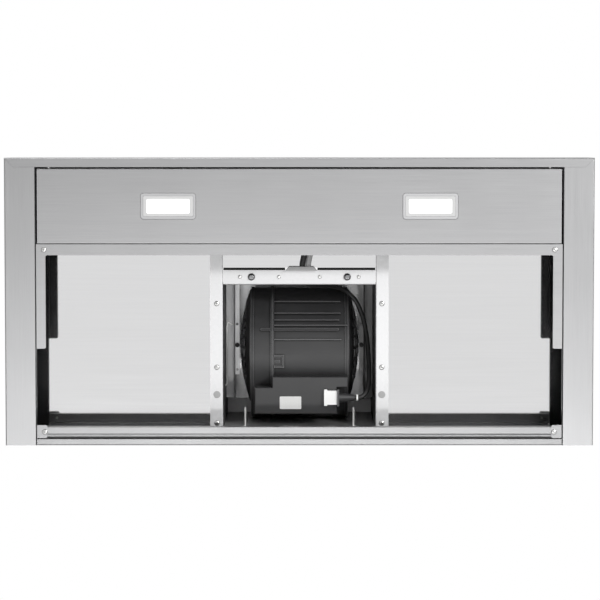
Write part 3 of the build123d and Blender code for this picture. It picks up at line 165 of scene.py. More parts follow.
class HoodFinishes(bpy.types.PropertyGroup):
    """Colours, gloss and grain of the hood's surfaces."""

    steel: colour("Steel", "Brushed stainless sheet", (0.335, 0.335, 0.339))
    # Painted shade: a darker copy of the brushed steel for the rail and the rear panel at the wall side
    rail: colour("Rail", "Duller sheet of the rail and the rear panel", (0.262, 0.262, 0.265))
    steel_roughness: share("Steel roughness", "Blur of the brushed sheet", 0.31)
    streak_width: length("Streak width", "Width of the finest brush mark", 0.0005)
    streak_length: length("Streak length", "Length of the finest brush mark", 0.07)
    # Painted shade: near-black colour on the canopy's inner faces, where shade falls
    inner_shade: colour("Inner shade", "Dark coat on the inner side of the canopy's sheets", (0.012, 0.012, 0.013))
    roof: colour("Roof", "Bright sheet above the filters", (0.92, 0.92, 0.925))
    roof_roughness: share("Roof roughness", "Blur of the bright sheet", 0.045)
    zinc: colour("Zinc", "Zinc-coated strips and strap", (0.71, 0.71, 0.715))
    # Painted shade: darker copy of the zinc for the box walls above the roof, where shade falls
    shaded_wall_zinc: colour("Dull zinc", "Zinc-coated walls beside the blower", (0.16, 0.16, 0.163))
    inner_zinc: colour("Inner zinc", "Zinc-coated sheet round the blower", (0.62, 0.62, 0.625))
    top_zinc: colour("Top zinc", "Smoother sheet above the blower", (0.70, 0.70, 0.705))
    bracket_zinc: colour("Bracket zinc", "Left rail that carries the blower", (0.70, 0.70, 0.705))
    # Painted shade: darker copy of the bracket zinc for the right rail, which lies in shade
    shaded_bracket_zinc: colour("Shaded bracket zinc", "Right rail, dark with grease", (0.20, 0.20, 0.20))
    zinc_roughness: share("Zinc roughness", "Blur of the strips and strap", 0.55)
    zinc_shine: share("Zinc shine", "How metallic the zinc coat is", 0.7)
    dull_roughness: share("Dull zinc roughness", "Blur of the zinc inside the blower box", 0.48)
    top_roughness: share("Top roughness", "Blur of the sheet above the blower", 0.2)
    spangle: length("Spangle", "Size of a crystal in the zinc coat", 0.006)
    plastic: colour("Black plastic", "Mouldings of the blower", (0.034, 0.034, 0.035))
    plastic_roughness: share("Plastic roughness", "Blur of the mouldings", 0.42)
    plastic_grain: length("Plastic grain", "Size of the moulded grain", 0.0009)
    # Painted highlight on the mouldings' edges and painted shade in their corners, where ribs catch light
    # and cast shade
    painted_highlight: colour("Edge highlight", "Worn edges of the mouldings", (0.21, 0.21, 0.213))
    highlight_reach: length("Highlight reach", "Width of a worn edge", 0.0015)
    painted_shade: colour("Painted shade", "Dark film in the mouldings' corners", (0.004, 0.004, 0.004))
    painted_shade_reach: length("Grease reach", "Width of the film in a corner", 0.004)
    rubber: colour("Rubber", "Black leads and buffers", (0.018, 0.018, 0.018))
    pale_rubber: colour("Pale rubber", "Pale lead and grommet", (0.42, 0.42, 0.42))
    white_plastic: colour("White plastic", "Motor plug and cable tie", (0.96, 0.96, 0.945))
    grey_plastic: colour("Grey plastic", "Discs that close spare holes", (0.40, 0.40, 0.40))
    button: colour("Button", "Push buttons", (0.48, 0.48, 0.49))
    screw: colour("Screw", "Bright screws and rivets", (0.62, 0.62, 0.61))
    # Painted shade on the rim and in the recess of each screw head, and on each rivet's rim
    screw_shade: colour("Screw shade", "Dark edge and recess of a head", (0.22, 0.22, 0.22))
    stud: colour("Stud", "Dark domed studs", (0.22, 0.22, 0.225))
    shaft: colour("Shaft", "Ground steel shafts", (0.55, 0.55, 0.56))
    motor: colour("Motor", "Cast casing of the motor", (0.30, 0.30, 0.31))
    board: colour("Board", "Lacquer of the control board", (0.02, 0.11, 0.05))
    bezel: colour("Lamp bezel", "Satin frame of a lamp", (0.40, 0.40, 0.405))
    lamp_body: colour("Lamp body", "Pale body of a lamp", (0.52, 0.52, 0.52))
    lens: colour("Lens", "Cover of a lamp", (0.95, 0.95, 0.95))
    lens_glow: FloatProperty(name="Lens glow", description="Light of a lamp's cover", min=0.0, default=0.2)
    paper: colour("Sticker", "Blank sticker on the terminal box", (0.76, 0.76, 0.75))


class HoodFasteners(bpy.types.PropertyGroup):
    """Sizes of the screws, rivets and other small pieces."""

    crown: share("Crown", "Share of a screw head's height that is domed", 0.6)
    recess_width: length("Recess width", "Width of a slot in a screw's cross", 0.0011)
    recess_span: length("Recess span", "Length of a slot in a screw's cross", 0.0048)
    recess_depth: length("Recess depth", "Depth of the cross", 0.0011)
    recess_taper: share("Recess taper", "Share of its size that the cross has at its bottom", 0.55)
    recess_skin: share("Recess skin", "Share of a head's height that still counts as its dome", 0.1)
    screw_radius: length("Screw radius", "Radius of a screw's head", 0.004)
    screw_head: length("Screw head", "Height of a screw's head", 0.0018)
    shank_radius: length("Shank radius", "Radius of a screw's or rivet's shank", 0.002)
    shank: length("Shank", "Length of a screw's or rivet's shank", 0.006)
    rivet_radius: length("Rivet radius", "Radius of a rivet's head", 0.003)
    rivet_head: length("Rivet head", "Height of a rivet's head", 0.0009)
    reach: length("Reach", "Points nearer together than this are on one fastener", 0.012)
    thread_pitch: length("Thread pitch", "Pitch of the screws", 0.0009)
    thread_depth: length("Thread depth", "Depth of the screws' thread", 0.0003)
    dimple: length("Rivet dimple", "Radius of the hollow in a rivet's head", 0.0011)
    dimple_taper: share("Dimple taper", "Share of its radius that the hollow has at its bottom", 0.8)
    # The painted shade on a head's rim starts at this share of its radius
    rim_shade_start: share("Rim shade start", "Share of a head's radius where its dark edge starts", 0.8)
    facets: IntProperty(name="Facets", description="Facets round a screw", min=12, default=32)
    seal_height: length("Seal height", "Foam strip in the slot in front of the strap", 0.004)
    seal_gap: length("Seal gap", "Room round the foam strip", 0.0003)
    clip_wire: length("Clip wire", "Radius of the wire clip's wire", 0.0012)
    clip_gap: length("Clip gap", "Room between the wire clip and the wall", 0.001)
    clip_drop: length("Clip drop", "Drop from the buffers to the wire clip", 0.016)
    nut_bevel: share("Nut bevel", "Share of a nut's height that is bevelled", 0.18)
    sticker_width: length("Sticker width", "Blank sticker along X", 0.034)
    sticker_depth: length("Sticker depth", "Blank sticker along Y", 0.020)
    sticker_thickness: length("Sticker thickness", "Paper and glue", 0.0002)
    sticker_corner: length("Sticker corner", "Radius of its corners", 0.0015)
    sticker_x: length("Sticker place, X", "Middle of the sticker", -0.014)
    sticker_y: length("Sticker place, Y", "Middle of the sticker", -0.0525)


class HoodStudio(bpy.types.PropertyGroup):
    """Floor, light and camera."""

    floor: colour("Floor", "Pale studio floor", (0.96, 0.96, 0.96))
    floor_drop: length("Floor drop", "Drop from the hood to the floor", 6.5)
    floor_width: length("Floor width", "Side of the square floor", 600.0)
    ambient: FloatProperty(name="Ambient", description="Strength of the studio's even light", default=0.75)
    horizon: share("Horizon", "Strength of the background beside the floor", 0.71)
    horizon_rise: share("Horizon rise", "Height, as a sine, where the background is white", 0.15)
    wall_lamp: power("Wall lamp", "Low lamp at the wall side", 4.0)
    floor_lamp: power("Floor lamp", "Strip lamp near the floor, at the wall side", 42.0)
    side_lamp: power("Side lamp", "Small low lamp at the front right", 80.0)
    front_lamp: power("Front lamp", "Low lamp at the front", 12.0)
    key_lamp: power("Key lamp", "High lamp at the front", 24.0)
    fill_lamp: power("Fill lamp", "High lamp at the right", 16.0)
    eye_drop: length("Eye drop", "Drop from the underside to the camera", 4.0)
    eye_y: length("Eye place", "Camera along Y", -0.476)
    aim_x: length("Aim, X", "Middle of the picture", 0.001)
    aim_y: length("Aim, Y", "Middle of the picture", -0.2232)
    lens: FloatProperty(name="Lens", description="Focal length in millimetres", default=157.5)


class Finish:
    """A material under construction."""

    def __init__(self, name):
        self.material = bpy.data.materials.new(name)
        self.material.use_nodes = True
        self.tree = self.material.node_tree
        self.shader = self.tree.nodes["Principled BSDF"]
        self.place = self.add("ShaderNodeTexCoord").outputs["Object"]

    def add(self, kind, **settings):
        """A new node with its settings."""
        node = self.tree.nodes.new(kind)
        for name, value in settings.items():
            setattr(node, name, value)
        return node

    def feed(self, socket, value):
        """Link a pattern to a socket, or set a plain value on it."""
        if isinstance(value, bpy.types.NodeSocket):
            self.tree.links.new(value, socket)
        else:
            socket.default_value = value

    def set(self, name, value):
        """Feed a socket of the shader."""
        if not isinstance(value, bpy.types.NodeSocket) and hasattr(value, "__len__") and len(value) == 3:
            value = (*value, 1.0)
        self.feed(self.shader.inputs[name], value)

    def math(self, operation, first, second):
        """Sum on two numbers or patterns."""
        node = self.add("ShaderNodeMath", operation=operation)
        self.feed(node.inputs[0], first)
        self.feed(node.inputs[1], second)
        return node.outputs[0]

    def vector_math(self, operation, first, second, output="Vector"):
        """Sum on two vectors."""
        node = self.add("ShaderNodeVectorMath", operation=operation)
        self.feed(node.inputs[0], first)
        self.feed(node.inputs[1], second)
        return node.outputs[output]

    def cloud(self, size, detail=2.0, stretch=(1, 1, 1)):
        """Cloudy pattern with marks of a size, drawn out along the axes."""
        mapping = self.add("ShaderNodeMapping")
        mapping.inputs["Scale"].default_value = [1 / (size * factor) for factor in stretch]
        self.feed(mapping.inputs["Vector"], self.place)
        noise = self.add("ShaderNodeTexNoise")
        noise.inputs["Scale"].default_value = 1.0
        noise.inputs["Detail"].default_value = detail
        self.feed(noise.inputs["Vector"], mapping.outputs["Vector"])
        return noise.outputs["Fac"]

    def crystals(self, size):
        """Irregular cells of a size, each with a number of its own."""
        cells = self.add("ShaderNodeTexVoronoi")
        cells.inputs["Scale"].default_value = 1 / size
        self.feed(cells.inputs["Vector"], self.place)
        split = self.add("ShaderNodeSeparateColor")
        self.feed(split.inputs["Color"], cells.outputs["Color"])
        return split.outputs["Red"]

    def spread(self, pattern, low, high, start=0.3, stop=0.7):
        """Turn a pattern into numbers from low to high."""
        node = self.add("ShaderNodeMapRange")
        self.feed(node.inputs["Value"], pattern)
        node.inputs["From Min"].default_value = start
        node.inputs["From Max"].default_value = stop
        node.inputs["To Min"].default_value = low
        node.inputs["To Max"].default_value = high
        return node.outputs["Result"]

    def blend(self, factor, first, second):
        """Blend two colours."""
        node = self.add("ShaderNodeMix", data_type="RGBA")
        sockets = [socket for socket in node.inputs if socket.enabled]
        for socket, value in zip(sockets, (factor, first, second)):
            if not isinstance(value, bpy.types.NodeSocket) and hasattr(value, "__len__"):
                value = (*value, 1.0)
            self.feed(socket, value)
        return next(socket for socket in node.outputs if socket.enabled)

    def between(self, factor, first, second):
        """A number between two others."""
        step = self.math("MULTIPLY", factor, self.math("SUBTRACT", second, first))
        return self.math("ADD", first, step)

    def weigh(self, first, second, part):
        """Two patterns added, the first with a part of the whole."""
        return self.math("ADD", self.math("MULTIPLY", first, part), self.math("MULTIPLY", second, 1 - part))

    def fed(self, name):
        """The pattern that feeds a socket of the shader."""
        return self.shader.inputs[name].links[0].from_socket

    def facing(self):
        """The way that a face looks, without its relief."""
        return self.add("ShaderNodeNewGeometry").outputs["True Normal"]

    def height(self, vector):
        """The part of a vector along Z."""
        split = self.add("ShaderNodeSeparateXYZ")
        self.feed(split.inputs["Vector"], vector)
        return split.outputs["Z"]

    def tones(self, pattern, base, swing):
        """A colour that a pattern makes darker and lighter by a share of itself."""
        dark = [channel * (1 - swing) for channel in base]
        light = [min(channel * (1 + swing), 1.0) for channel in base]
        return self.blend(self.spread(pattern, 0, 1), dark, light)

    def crowding(self, reach, inside=False):
        """Pattern from 0, hemmed in by the piece's own faces within a reach, to 1, free of them."""
        node = self.add("ShaderNodeAmbientOcclusion", samples=8, inside=inside, only_local=True)
        node.inputs["Distance"].default_value = reach
        return node.outputs["AO"]

    def relief(self, pattern, depth):
        """Raise and lower the surface by a depth."""
        bump = self.add("ShaderNodeBump")
        bump.inputs["Distance"].default_value = depth
        self.feed(bump.inputs["Height"], pattern)
        self.set("Normal", bump.outputs["Normal"])


def moulding(name, base, roughness, grain, swing=0.12, depth=0.00003):
    """Plastic or rubber with a fine moulded grain."""
    patch_size, patch_part, smoother, rougher = 0.05, 0.6, 0.06, 0.08
    finish = Finish(name)
    cloud = finish.cloud(patch_size)
    fine = finish.cloud(grain, detail=3.0)
    finish.set("Base Color", finish.tones(cloud, base, swing))
    patches = finish.weigh(cloud, fine, patch_part)
    finish.set("Roughness", finish.spread(patches, roughness - smoother, roughness + rougher))
    finish.relief(fine, depth)
    return finish


def moulded(name, base, **skin):
    """Material of a moulding."""
    return moulding(name, base, **skin).material


def painted_highlight(look):
    """Black moulding with a painted highlight on its edges and painted shade in its corners."""
    highlit, whole = 0.35, 0.85  # how free an edge is where its painted highlight is full, and where the highlight starts
    full_shade, no_shade = 0.5, 0.98  # how free a corner is where its painted shade is full, and where the shade starts
    finish = moulding("black plastic", look.plastic, look.plastic_roughness, look.plastic_grain)
    edge = finish.spread(finish.crowding(look.highlight_reach, inside=True), 1.0, 0.0, highlit, whole)
    corner = finish.spread(finish.crowding(look.painted_shade_reach), 1.0, 0.0, full_shade, no_shade)
    skin = finish.blend(edge, finish.fed("Base Color"), look.painted_highlight)
    finish.set("Base Color", finish.blend(corner, skin, look.painted_shade))
    return finish.material


def streaks(finish, look, axis):
    """Brush marks along an axis: fine ones with broader ones among them."""
    broader, fine_part = 9, 0.75
    drawn = look.streak_length / look.streak_width
    stretch = [drawn if letter == axis else 1 for letter in "XYZ"]
    fine = finish.cloud(look.streak_width, stretch=stretch)
    broad = finish.cloud(broader * look.streak_width, stretch=stretch)
    return finish.weigh(fine, broad, fine_part)


def brushed(name, look, axis, base=None):
    """Brushed stainless sheet."""
    mark_swing, mark_blur, mark_depth = 0.05, 0.025, 0.000012
    smear_size, smear_blur = 0.11, 0.012
    finish = Finish(name)
    marks = streaks(finish, look, axis)
    finish.set("Base Color", finish.tones(marks, base or look.steel, mark_swing))
    finish.set("Metallic", 1.0)
    rough = finish.spread(marks, look.steel_roughness - mark_blur, look.steel_roughness + mark_blur)
    smears = finish.spread(finish.cloud(smear_size), -smear_blur, smear_blur)
    finish.set("Roughness", finish.math("ADD", rough, smears))
    finish.relief(marks, mark_depth)
    return finish


def shaded_inside(name, look, axis, base=None):
    """Brushed sheet of the canopy whose inner side takes a near-black painted shade."""
    finish = brushed(name, look, axis, base)
    low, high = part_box("front_panel")[0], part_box("rear_panel")[1]
    middle = (low + high) / 2
    outward = finish.vector_math("SUBTRACT", finish.place, middle)
    along = finish.vector_math("DOT_PRODUCT", outward, finish.facing(), "Value")
    # Faces that look into the canopy get the painted shade in place of steel
    inside = finish.math("LESS_THAN", along, 0.0)
    finish.set("Base Color", finish.blend(inside, finish.fed("Base Color"), look.inner_shade))
    finish.set("Metallic", finish.math("SUBTRACT", 1.0, inside))
    return finish.material


def roof_sheet(look):
    """Sheet that is brushed above and polished, with faint rolling marks, below."""
    mark_width, mark_stretch, mark_swing, mark_blur = 0.003, (60, 1, 1), 0.012, 0.012
    finish = brushed("roof sheet", look, "X")
    marks = finish.cloud(mark_width, stretch=mark_stretch)
    below = finish.math("LESS_THAN", finish.height(finish.facing()), 0.0)
    bright = finish.tones(marks, look.roof, mark_swing)
    finish.set("Base Color", finish.blend(below, finish.fed("Base Color"), bright))
    smooth = finish.spread(marks, look.roof_roughness - mark_blur, look.roof_roughness + mark_blur)
    finish.set("Roughness", finish.between(below, finish.fed("Roughness"), smooth))
    raised = finish.fed("Normal").node.inputs["Strength"]
    finish.feed(raised, finish.math("SUBTRACT", 1.0, below))
    return finish.material


def zinc_coat(name, look, base, roughness):
    """Zinc-coated sheet with its crystals."""
    crystal_swing, crystal_blur, wave_size, wave_depth = 0.025, 0.03, 0.004, 0.00001
    finish = Finish(name)
    crystals = finish.crystals(look.spangle)
    finish.set("Base Color", finish.tones(crystals, base, crystal_swing))
    finish.set("Metallic", look.zinc_shine)
    finish.set("Roughness", finish.spread(crystals, roughness - crystal_blur, roughness + crystal_blur))
    finish.relief(finish.cloud(wave_size), wave_depth)
    return finish


def box_side_zinc(look):
    """Zinc-coated sheet, bright on the strip, with a painted shade on the wall above it."""
    wall_swing = 0.08
    finish = zinc_coat("zinc of the box sides", look, look.zinc, look.zinc_roughness)
    # Above the roof the wall takes the painted shade
    wall = finish.math("GREATER_THAN", finish.height(finish.place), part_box("roof_panel")[0].z)
    dull = finish.tones(finish.crystals(look.spangle), look.shaded_wall_zinc, wall_swing)
    finish.set("Base Color", finish.blend(wall, finish.fed("Base Color"), dull))
    return finish.material


def grained(name, base, size, swing, blur, depth, metallic=0.0, detail=3.0, stretch=(1, 1, 1)):
    """Surface with one fine pattern in its tone, its blur and its relief."""
    finish = Finish(name)
    grain = finish.cloud(size, detail, stretch)
    finish.set("Base Color", finish.tones(grain, base, swing))
    finish.set("Metallic", metallic)
    finish.set("Roughness", finish.spread(grain, *blur))
    finish.relief(grain, depth)
    return finish


def turned(name, base, roughness):
    """Bright metal with fine tool marks."""
    smoother, rougher = 0.05, 0.08
    marks = {"size": 0.0004, "swing": 0.10, "depth": 0.000008}
    blur = (roughness - smoother, roughness + rougher)
    return grained(name, base, blur=blur, metallic=1.0, **marks).material


def cast_casing(look):
    """Cast metal with a sandy skin."""
    sand = {"size": 0.0012, "swing": 0.15, "blur": (0.45, 0.65), "depth": 0.00006, "detail": 4.0}
    return grained("cast casing", look.motor, metallic=0.8, **sand).material


def lacquered_board(look):
    """Control board with lighter tracks under its lacquer."""
    tracks_a_metre, track_width, track_light, track_depth = 160.0, 0.04, 2.2, 0.00004
    cloud_size, smooth, rough = 0.004, 0.25, 0.4
    finish = Finish("lacquered board")
    cells = finish.add("ShaderNodeTexBrick")
    cells.inputs["Scale"].default_value = tracks_a_metre
    cells.inputs["Mortar Size"].default_value = track_width
    turned_up = finish.add("ShaderNodeMapping")
    turned_up.inputs["Rotation"].default_value = (math.radians(90), 0, 0)
    finish.feed(turned_up.inputs["Vector"], finish.place)
    finish.feed(cells.inputs["Vector"], turned_up.outputs["Vector"])
    tracks = [min(channel * track_light, 1.0) for channel in look.board]
    finish.set("Base Color", finish.blend(cells.outputs["Fac"], look.board, tracks))
    finish.set("Roughness", finish.spread(finish.cloud(cloud_size), smooth, rough))
    finish.relief(cells.outputs["Fac"], track_depth)
    return finish.material


def lamp_cover(look):
    """Frosted lamp cover that gives a little light."""
    finish = grained("lamp cover", look.lens, size=0.0011, swing=0.03, blur=(0.3, 0.45), depth=0.00004)
    finish.set("Emission Color", (1.0, 1.0, 1.0))
    finish.set("Emission Strength", look.lens_glow)
    return finish.material


def paper(look):
    """Blank paper with a faint fibre."""
    fibre = {"size": 0.0007, "swing": 0.04, "blur": (0.55, 0.7), "depth": 0.00002, "detail": 4.0}
    return grained("blank paper", look.paper, stretch=(3, 1, 1), **fibre).material


def dress(nodes, material):
    """Give nodes of the frame a material."""
    for name in nodes:
        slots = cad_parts[name].data.materials
        slots.clear()
        slots.append(material)


def add_piece(name, mesh, materials, body, slot, *nodes):
    """Add a piece that rides on a body and may stand for nodes of the frame."""
    piece = bpy.data.objects.new(name, mesh)
    bpy.context.scene.collection.objects.link(piece)
    for material in materials:
        mesh.materials.append(material)
    mesh.shade_smooth()
    mesh.set_sharp_from_angle(angle=SHARP_ANGLE)
    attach(piece, body)
    if nodes:
        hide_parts(*nodes)
    return piece


def points_of(node):
    """Points of a node of the frame."""
    return [vertex.co.copy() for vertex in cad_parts[node].data.vertices]


def solids_of(node, reach):
    """Low and high corners of the separate solids in a node, each smaller than a reach."""
    groups = []
    for point in points_of(node):
        group = next((found for found in groups if (found[0] - point).length < reach), None)
        if group is None:
            groups.append([point])
        else:
            group.append(point)
    corners = []
    for points in groups:
        low = Vector([min(point[axis] for point in points) for axis in range(3)])
        high = Vector([max(point[axis] for point in points) for axis in range(3)])
        corners.append((low, high))
    return corners


def around(facets):
    """Angles of a ring's points."""
    return [2 * math.pi * step / facets for step in range(facets)]


def wrap(shape, rings):
    """Faces between rings of as many points, with closed ends."""
    count = len(rings[0])
    for first, second in zip(rings, rings[1:]):
        for step in range(count):
            after = (step + 1) % count
            shape.faces.new((first[step], first[after], second[after], second[step]))
    shape.faces.new(list(reversed(rings[0])))
    shape.faces.new(rings[-1])


def lathe(shape, profile, facets):
    """Turn a profile of (radius, height), from axis to axis, into a closed skin round Z."""
    rings = []
    for radius, height in profile:
        angles = around(facets) if radius else [0]
        ring = [(radius * math.cos(a), radius * math.sin(a), height) for a in angles]
        rings.append([shape.verts.new(point) for point in ring])
    for lower, upper in zip(rings, rings[1:]):
        for step in range(facets):
            after = (step + 1) % facets
            if len(lower) == 1:
                shape.faces.new((lower[0], upper[after], upper[step]))
            elif len(upper) == 1:
                shape.faces.new((lower[step], lower[after], upper[0]))
            else:
                shape.faces.new((lower[step], lower[after], upper[after], upper[step]))


def thread(shape, radius, depth, pitch, low, high, facets):
    """Threaded rod along Z with closed ends."""
    rows = round((high - low) / pitch * THREAD_ROWS)
    rings = []
    for row in range(rows + 1):
        height = low + (high - low) * row / rows
        ring = []
        for step, angle in enumerate(around(facets)):
            phase = (height / pitch - step / facets) % 1.0
            reach = radius - depth * abs(2 * phase - 1)
            ring.append(shape.verts.new((reach * math.cos(angle), reach * math.sin(angle), height)))
        rings.append(ring)
    wrap(shape, rings)


def to_mesh(name, shape):
    """Turn a shape into a mesh with its faces outwards."""
    bmesh.ops.recalc_face_normals(shape, faces=shape.faces)
    mesh = bpy.data.meshes.new(name)
    shape.to_mesh(mesh)
    shape.free()
    return mesh


def moved(mesh, matrix):
    """The mesh put in another place."""
    mesh.transform(matrix)
    return mesh


def without(mesh, cutter):
    """The mesh with the cutter's shape taken away."""
    scene = bpy.context.scene
    body = bpy.data.objects.new("body", mesh)
    tool = bpy.data.objects.new("tool", cutter)
    for part in (body, tool):
        scene.collection.objects.link(part)
    cut = body.modifiers.new("cut", "BOOLEAN")
    cut.operation = "DIFFERENCE"
    cut.solver = "EXACT"
    cut.use_self = True
    cut.object = tool
    bpy.context.view_layer.update()
    result = bpy.data.meshes.new_from_object(body.evaluated_get(bpy.context.evaluated_depsgraph_get()))
    for part in (body, tool):
        bpy.data.objects.remove(part)
    return result


def cross(sizes):
    """Tapered cross that cuts a screw's recess, standing on its small end below Z = 0."""
    shape = bmesh.new()
    for turn in (0, math.pi / 2):
        made = bmesh.ops.create_cube(shape, size=1.0)["verts"]
        for vertex in made:
            small = sizes.recess_taper if vertex.co.z > 0 else 1.0
            vertex.co.x *= sizes.recess_span * small
            vertex.co.y *= sizes.recess_width * small
            vertex.co.z *= 2 * sizes.recess_depth
        bmesh.ops.rotate(shape, verts=made, matrix=Matrix.Rotation(turn, 3, "Z"))
    return to_mesh("cross", shape)


def shade_rim(shape, start):
    """Give the faces of a head that lie outside a radius the second finish, a painted shade on its rim."""
    for face in shape.faces:
        middle = face.calc_center_median()
        face.material_index = int(math.hypot(middle.x, middle.y) > start)


def shade_recess(shape, radius, head, dome, sunk):
    """Give the faces that lie deeper than sunk under a head's dome, in its recess, the second finish, a
    painted shade in the recess.
    """
    for face in shape.faces:
        middle = face.calc_center_median()
        out = min(math.hypot(middle.x, middle.y) / radius, 1.0)
        skin = -head + dome * (1 - math.sqrt(1 - out * out))
        if middle.z > skin + sunk:
            face.material_index = 1


def screw_mesh(sizes):
    """Pan-head screw driven up along Z from its head under Z = 0, with a cross recess."""
    shape = bmesh.new()
    radius, head = sizes.screw_radius, sizes.screw_head
    dome = sizes.crown * head
    profile = [(radius * math.sin(a), -head + dome * (1 - math.cos(a))) for a in QUARTER_TURN]
    lathe(shape, [(0, -head), *profile[1:], (radius, 0), (0, 0)], sizes.facets)
    top = without(to_mesh("head", shape), moved(cross(sizes), Matrix.Translation((0, 0, -head))))
    shape = bmesh.new()
    shape.from_mesh(top)
    shade_rim(shape, sizes.rim_shade_start * radius)
    shade_recess(shape, radius, head, dome, sizes.recess_skin * head)
    depth, pitch = sizes.thread_depth, sizes.thread_pitch
    thread(shape, sizes.shank_radius, depth, pitch, 0.0, sizes.shank, sizes.facets // 2)
    return to_mesh("screw", shape)


def rivet_mesh(sizes):
    """Blind rivet driven up along Z, with a hollow in the middle of its domed head."""
    shape = bmesh.new()
    radius, head, hollow = sizes.rivet_radius, sizes.rivet_head, sizes.dimple
    dome = [(hollow + (radius - hollow) * math.sin(a), -head * math.cos(a)) for a in QUARTER_TURN]
    ends = [(sizes.shank_radius, 0), (sizes.shank_radius, sizes.shank), (0, sizes.shank)]
    bottom = -head / 3
    lathe(shape, [(0, bottom), (sizes.dimple_taper * hollow, bottom), *dome, *ends], sizes.facets)
    shade_rim(shape, sizes.rim_shade_start * radius)
    return to_mesh("rivet", shape)


def fastened(name, one, node, reach, head_height, turn):
    """Copies of a fastener, one for each solid of a node."""
    shape = bmesh.new()
    for low, high in solids_of(node, reach):
        copy = one.copy()
        shape.from_mesh(moved(copy, turn(low, high, head_height)))
        bpy.data.meshes.remove(copy)
    return to_mesh(name, shape)


def seated_below(low, high, head_height):
    """Place of a fastener driven straight up."""
    return Matrix.Translation(((low.x + high.x) / 2, (low.y + high.y) / 2, low.z + head_height))


def seated_outside(low, high, head_height):
    """Place of a fastener driven towards the middle of the chimney."""
    side = math.copysign(1, low.x)
    face = (high.x if side > 0 else low.x) - side * head_height
    turn = Matrix.Rotation(-side * math.pi / 2, 4, "Y")
    return Matrix.Translation((face, (low.y + high.y) / 2, (low.z + high.z) / 2)) @ turn


def add_adjuster(shape, sizes, points):
    """Threaded rod along Y with its nut, as long and thick as the solids that the points lie on."""
    nut_share = 0.9  # points further from the axis than this share of the farthest one are on the nut
    low, high = [[end(point[axis] for point in points) for axis in range(3)] for end in (min, max)]
    axis_x, axis_z = (low[0] + high[0]) / 2, (low[2] + high[2]) / 2
    rod = [low[1], high[1]]
    reach = {tuple(point): math.hypot(point.x - axis_x, point.z - axis_z) for point in points}
    rod_radius = min(reach[tuple(point)] for point in points if point.y in rod)
    nut_radius = max(reach.values())
    nut = [place[1] for place, radius in reach.items() if radius > nut_share * nut_radius]
    made = bmesh.new()
    thread(made, rod_radius, sizes.thread_depth, sizes.thread_pitch, *rod, sizes.facets // 2)
    start, stop = min(nut), max(nut)
    bevel = sizes.nut_bevel * (stop - start)
    flat = nut_radius * math.cos(math.pi / 6)
    sides = [(nut_radius, start + bevel), (nut_radius, stop - bevel)]
    lathe(made, [(0, start), (flat, start), *sides, (flat, stop), (0, stop)], 6)
    mesh = to_mesh("adjuster", made)
    turn = Matrix.Translation((axis_x, 0, axis_z)) @ Matrix.Rotation(-math.pi / 2, 4, "X")
    shape.from_mesh(moved(mesh, turn))


def slot_front(strap_front):
    """Front edge of the roof's opening, just ahead of the strap."""
    return min(point.y for point in points_of("roof_panel") if 0 < strap_front - point.y < SLOT_REACH)


def domed_section(span, base, height):
    """Section in Y and Z with a flat top and a round underside that starts at base."""
    middle, reach = sum(span) / 2, (span[1] - span[0]) / 2
    dome = [(middle - reach * math.cos(a), base + reach * (1 - math.sin(a))) for a in HALF_TURN]
    return [*dome, (span[1], base + height), (span[0], base + height)]


def prism(shape, section, start, stop):
    """A section in Y and Z drawn along X, with closed ends."""
    wrap(shape, [[shape.verts.new((x, y, z)) for y, z in section] for x in (start, stop)])


def tube(shape, points, radius, facets):
    """Round wire along a flat, level path, with closed ends."""
    stops = [Vector(point) for point in points]
    rings = []
    for place, before, after in zip(stops, [stops[0], *stops], [*stops[1:], stops[-1]]):
        across = (after - before).normalized().cross(Vector((0, 0, 1)))
        ways = [math.cos(a) * across + Vector((0, 0, math.sin(a))) for a in around(facets)]
        rings.append([shape.verts.new(place + radius * way) for way in ways])
    wrap(shape, rings)


def rounded_plate(width, depth, thickness, corner):
    """Flat plate with round corners, its top at Z = 0."""
    shape = bmesh.new()
    rim = []
    for x, y, start in ((1, 1, 0), (-1, 1, 90), (-1, -1, 180), (1, -1, 270)):
        for step in range(CORNER_STEPS + 1):
            angle = math.radians(start + 90 * step / CORNER_STEPS)
            centre_x, centre_y = x * (width / 2 - corner), y * (depth / 2 - corner)
            rim.append((centre_x + corner * math.cos(angle), centre_y + corner * math.sin(angle)))
    face = shape.faces.new([shape.verts.new((x, y, 0)) for x, y in rim])
    grown = bmesh.ops.extrude_face_region(shape, geom=[face])["geom"]
    for vertex in (item for item in grown if isinstance(item, bmesh.types.BMVert)):
        vertex.co.z = -thickness
    return to_mesh("plate", shape)


class HOOD_OT_canopy(bpy.types.Operator):
    """Finish the canopy's sheets, filter rest, rail and light panel"""

    bl_idname = "hood.canopy"
    bl_label = "Canopy"

    def execute(self, context):
        look = context.scene.hood_finishes
        dress(GRAIN_ALONG_X, shaded_inside("steel brushed along the hood", look, "X"))
        dress(GRAIN_ALONG_Y, shaded_inside("steel brushed to the wall", look, "Y"))
        # The rail and the rear panel take the darker copy of the steel, a painted shade
        dress(RAIL_PIECES, brushed("steel of the rail", look, "X", look.rail).material)
        dress(["rear_panel"], shaded_inside("steel of the rear panel", look, "X", look.rail))
        dress(["roof_panel"], roof_sheet(look))
        return {"FINISHED"}


class HOOD_OT_lamps(bpy.types.Operator):
    """Finish the lamps"""

    bl_idname = "hood.lamps"
    bl_label = "Lamps"

    def execute(self, context):
        look = context.scene.hood_finishes
        dress(["lamp_bezels"], turned("satin bezel", look.bezel, SATIN_BLUR))
        dress(["lamp_modules"], moulded("lamp body", look.lamp_body, **LAMP_SKIN))
        dress(["lamp_lenses"], lamp_cover(look))
        return {"FINISHED"}


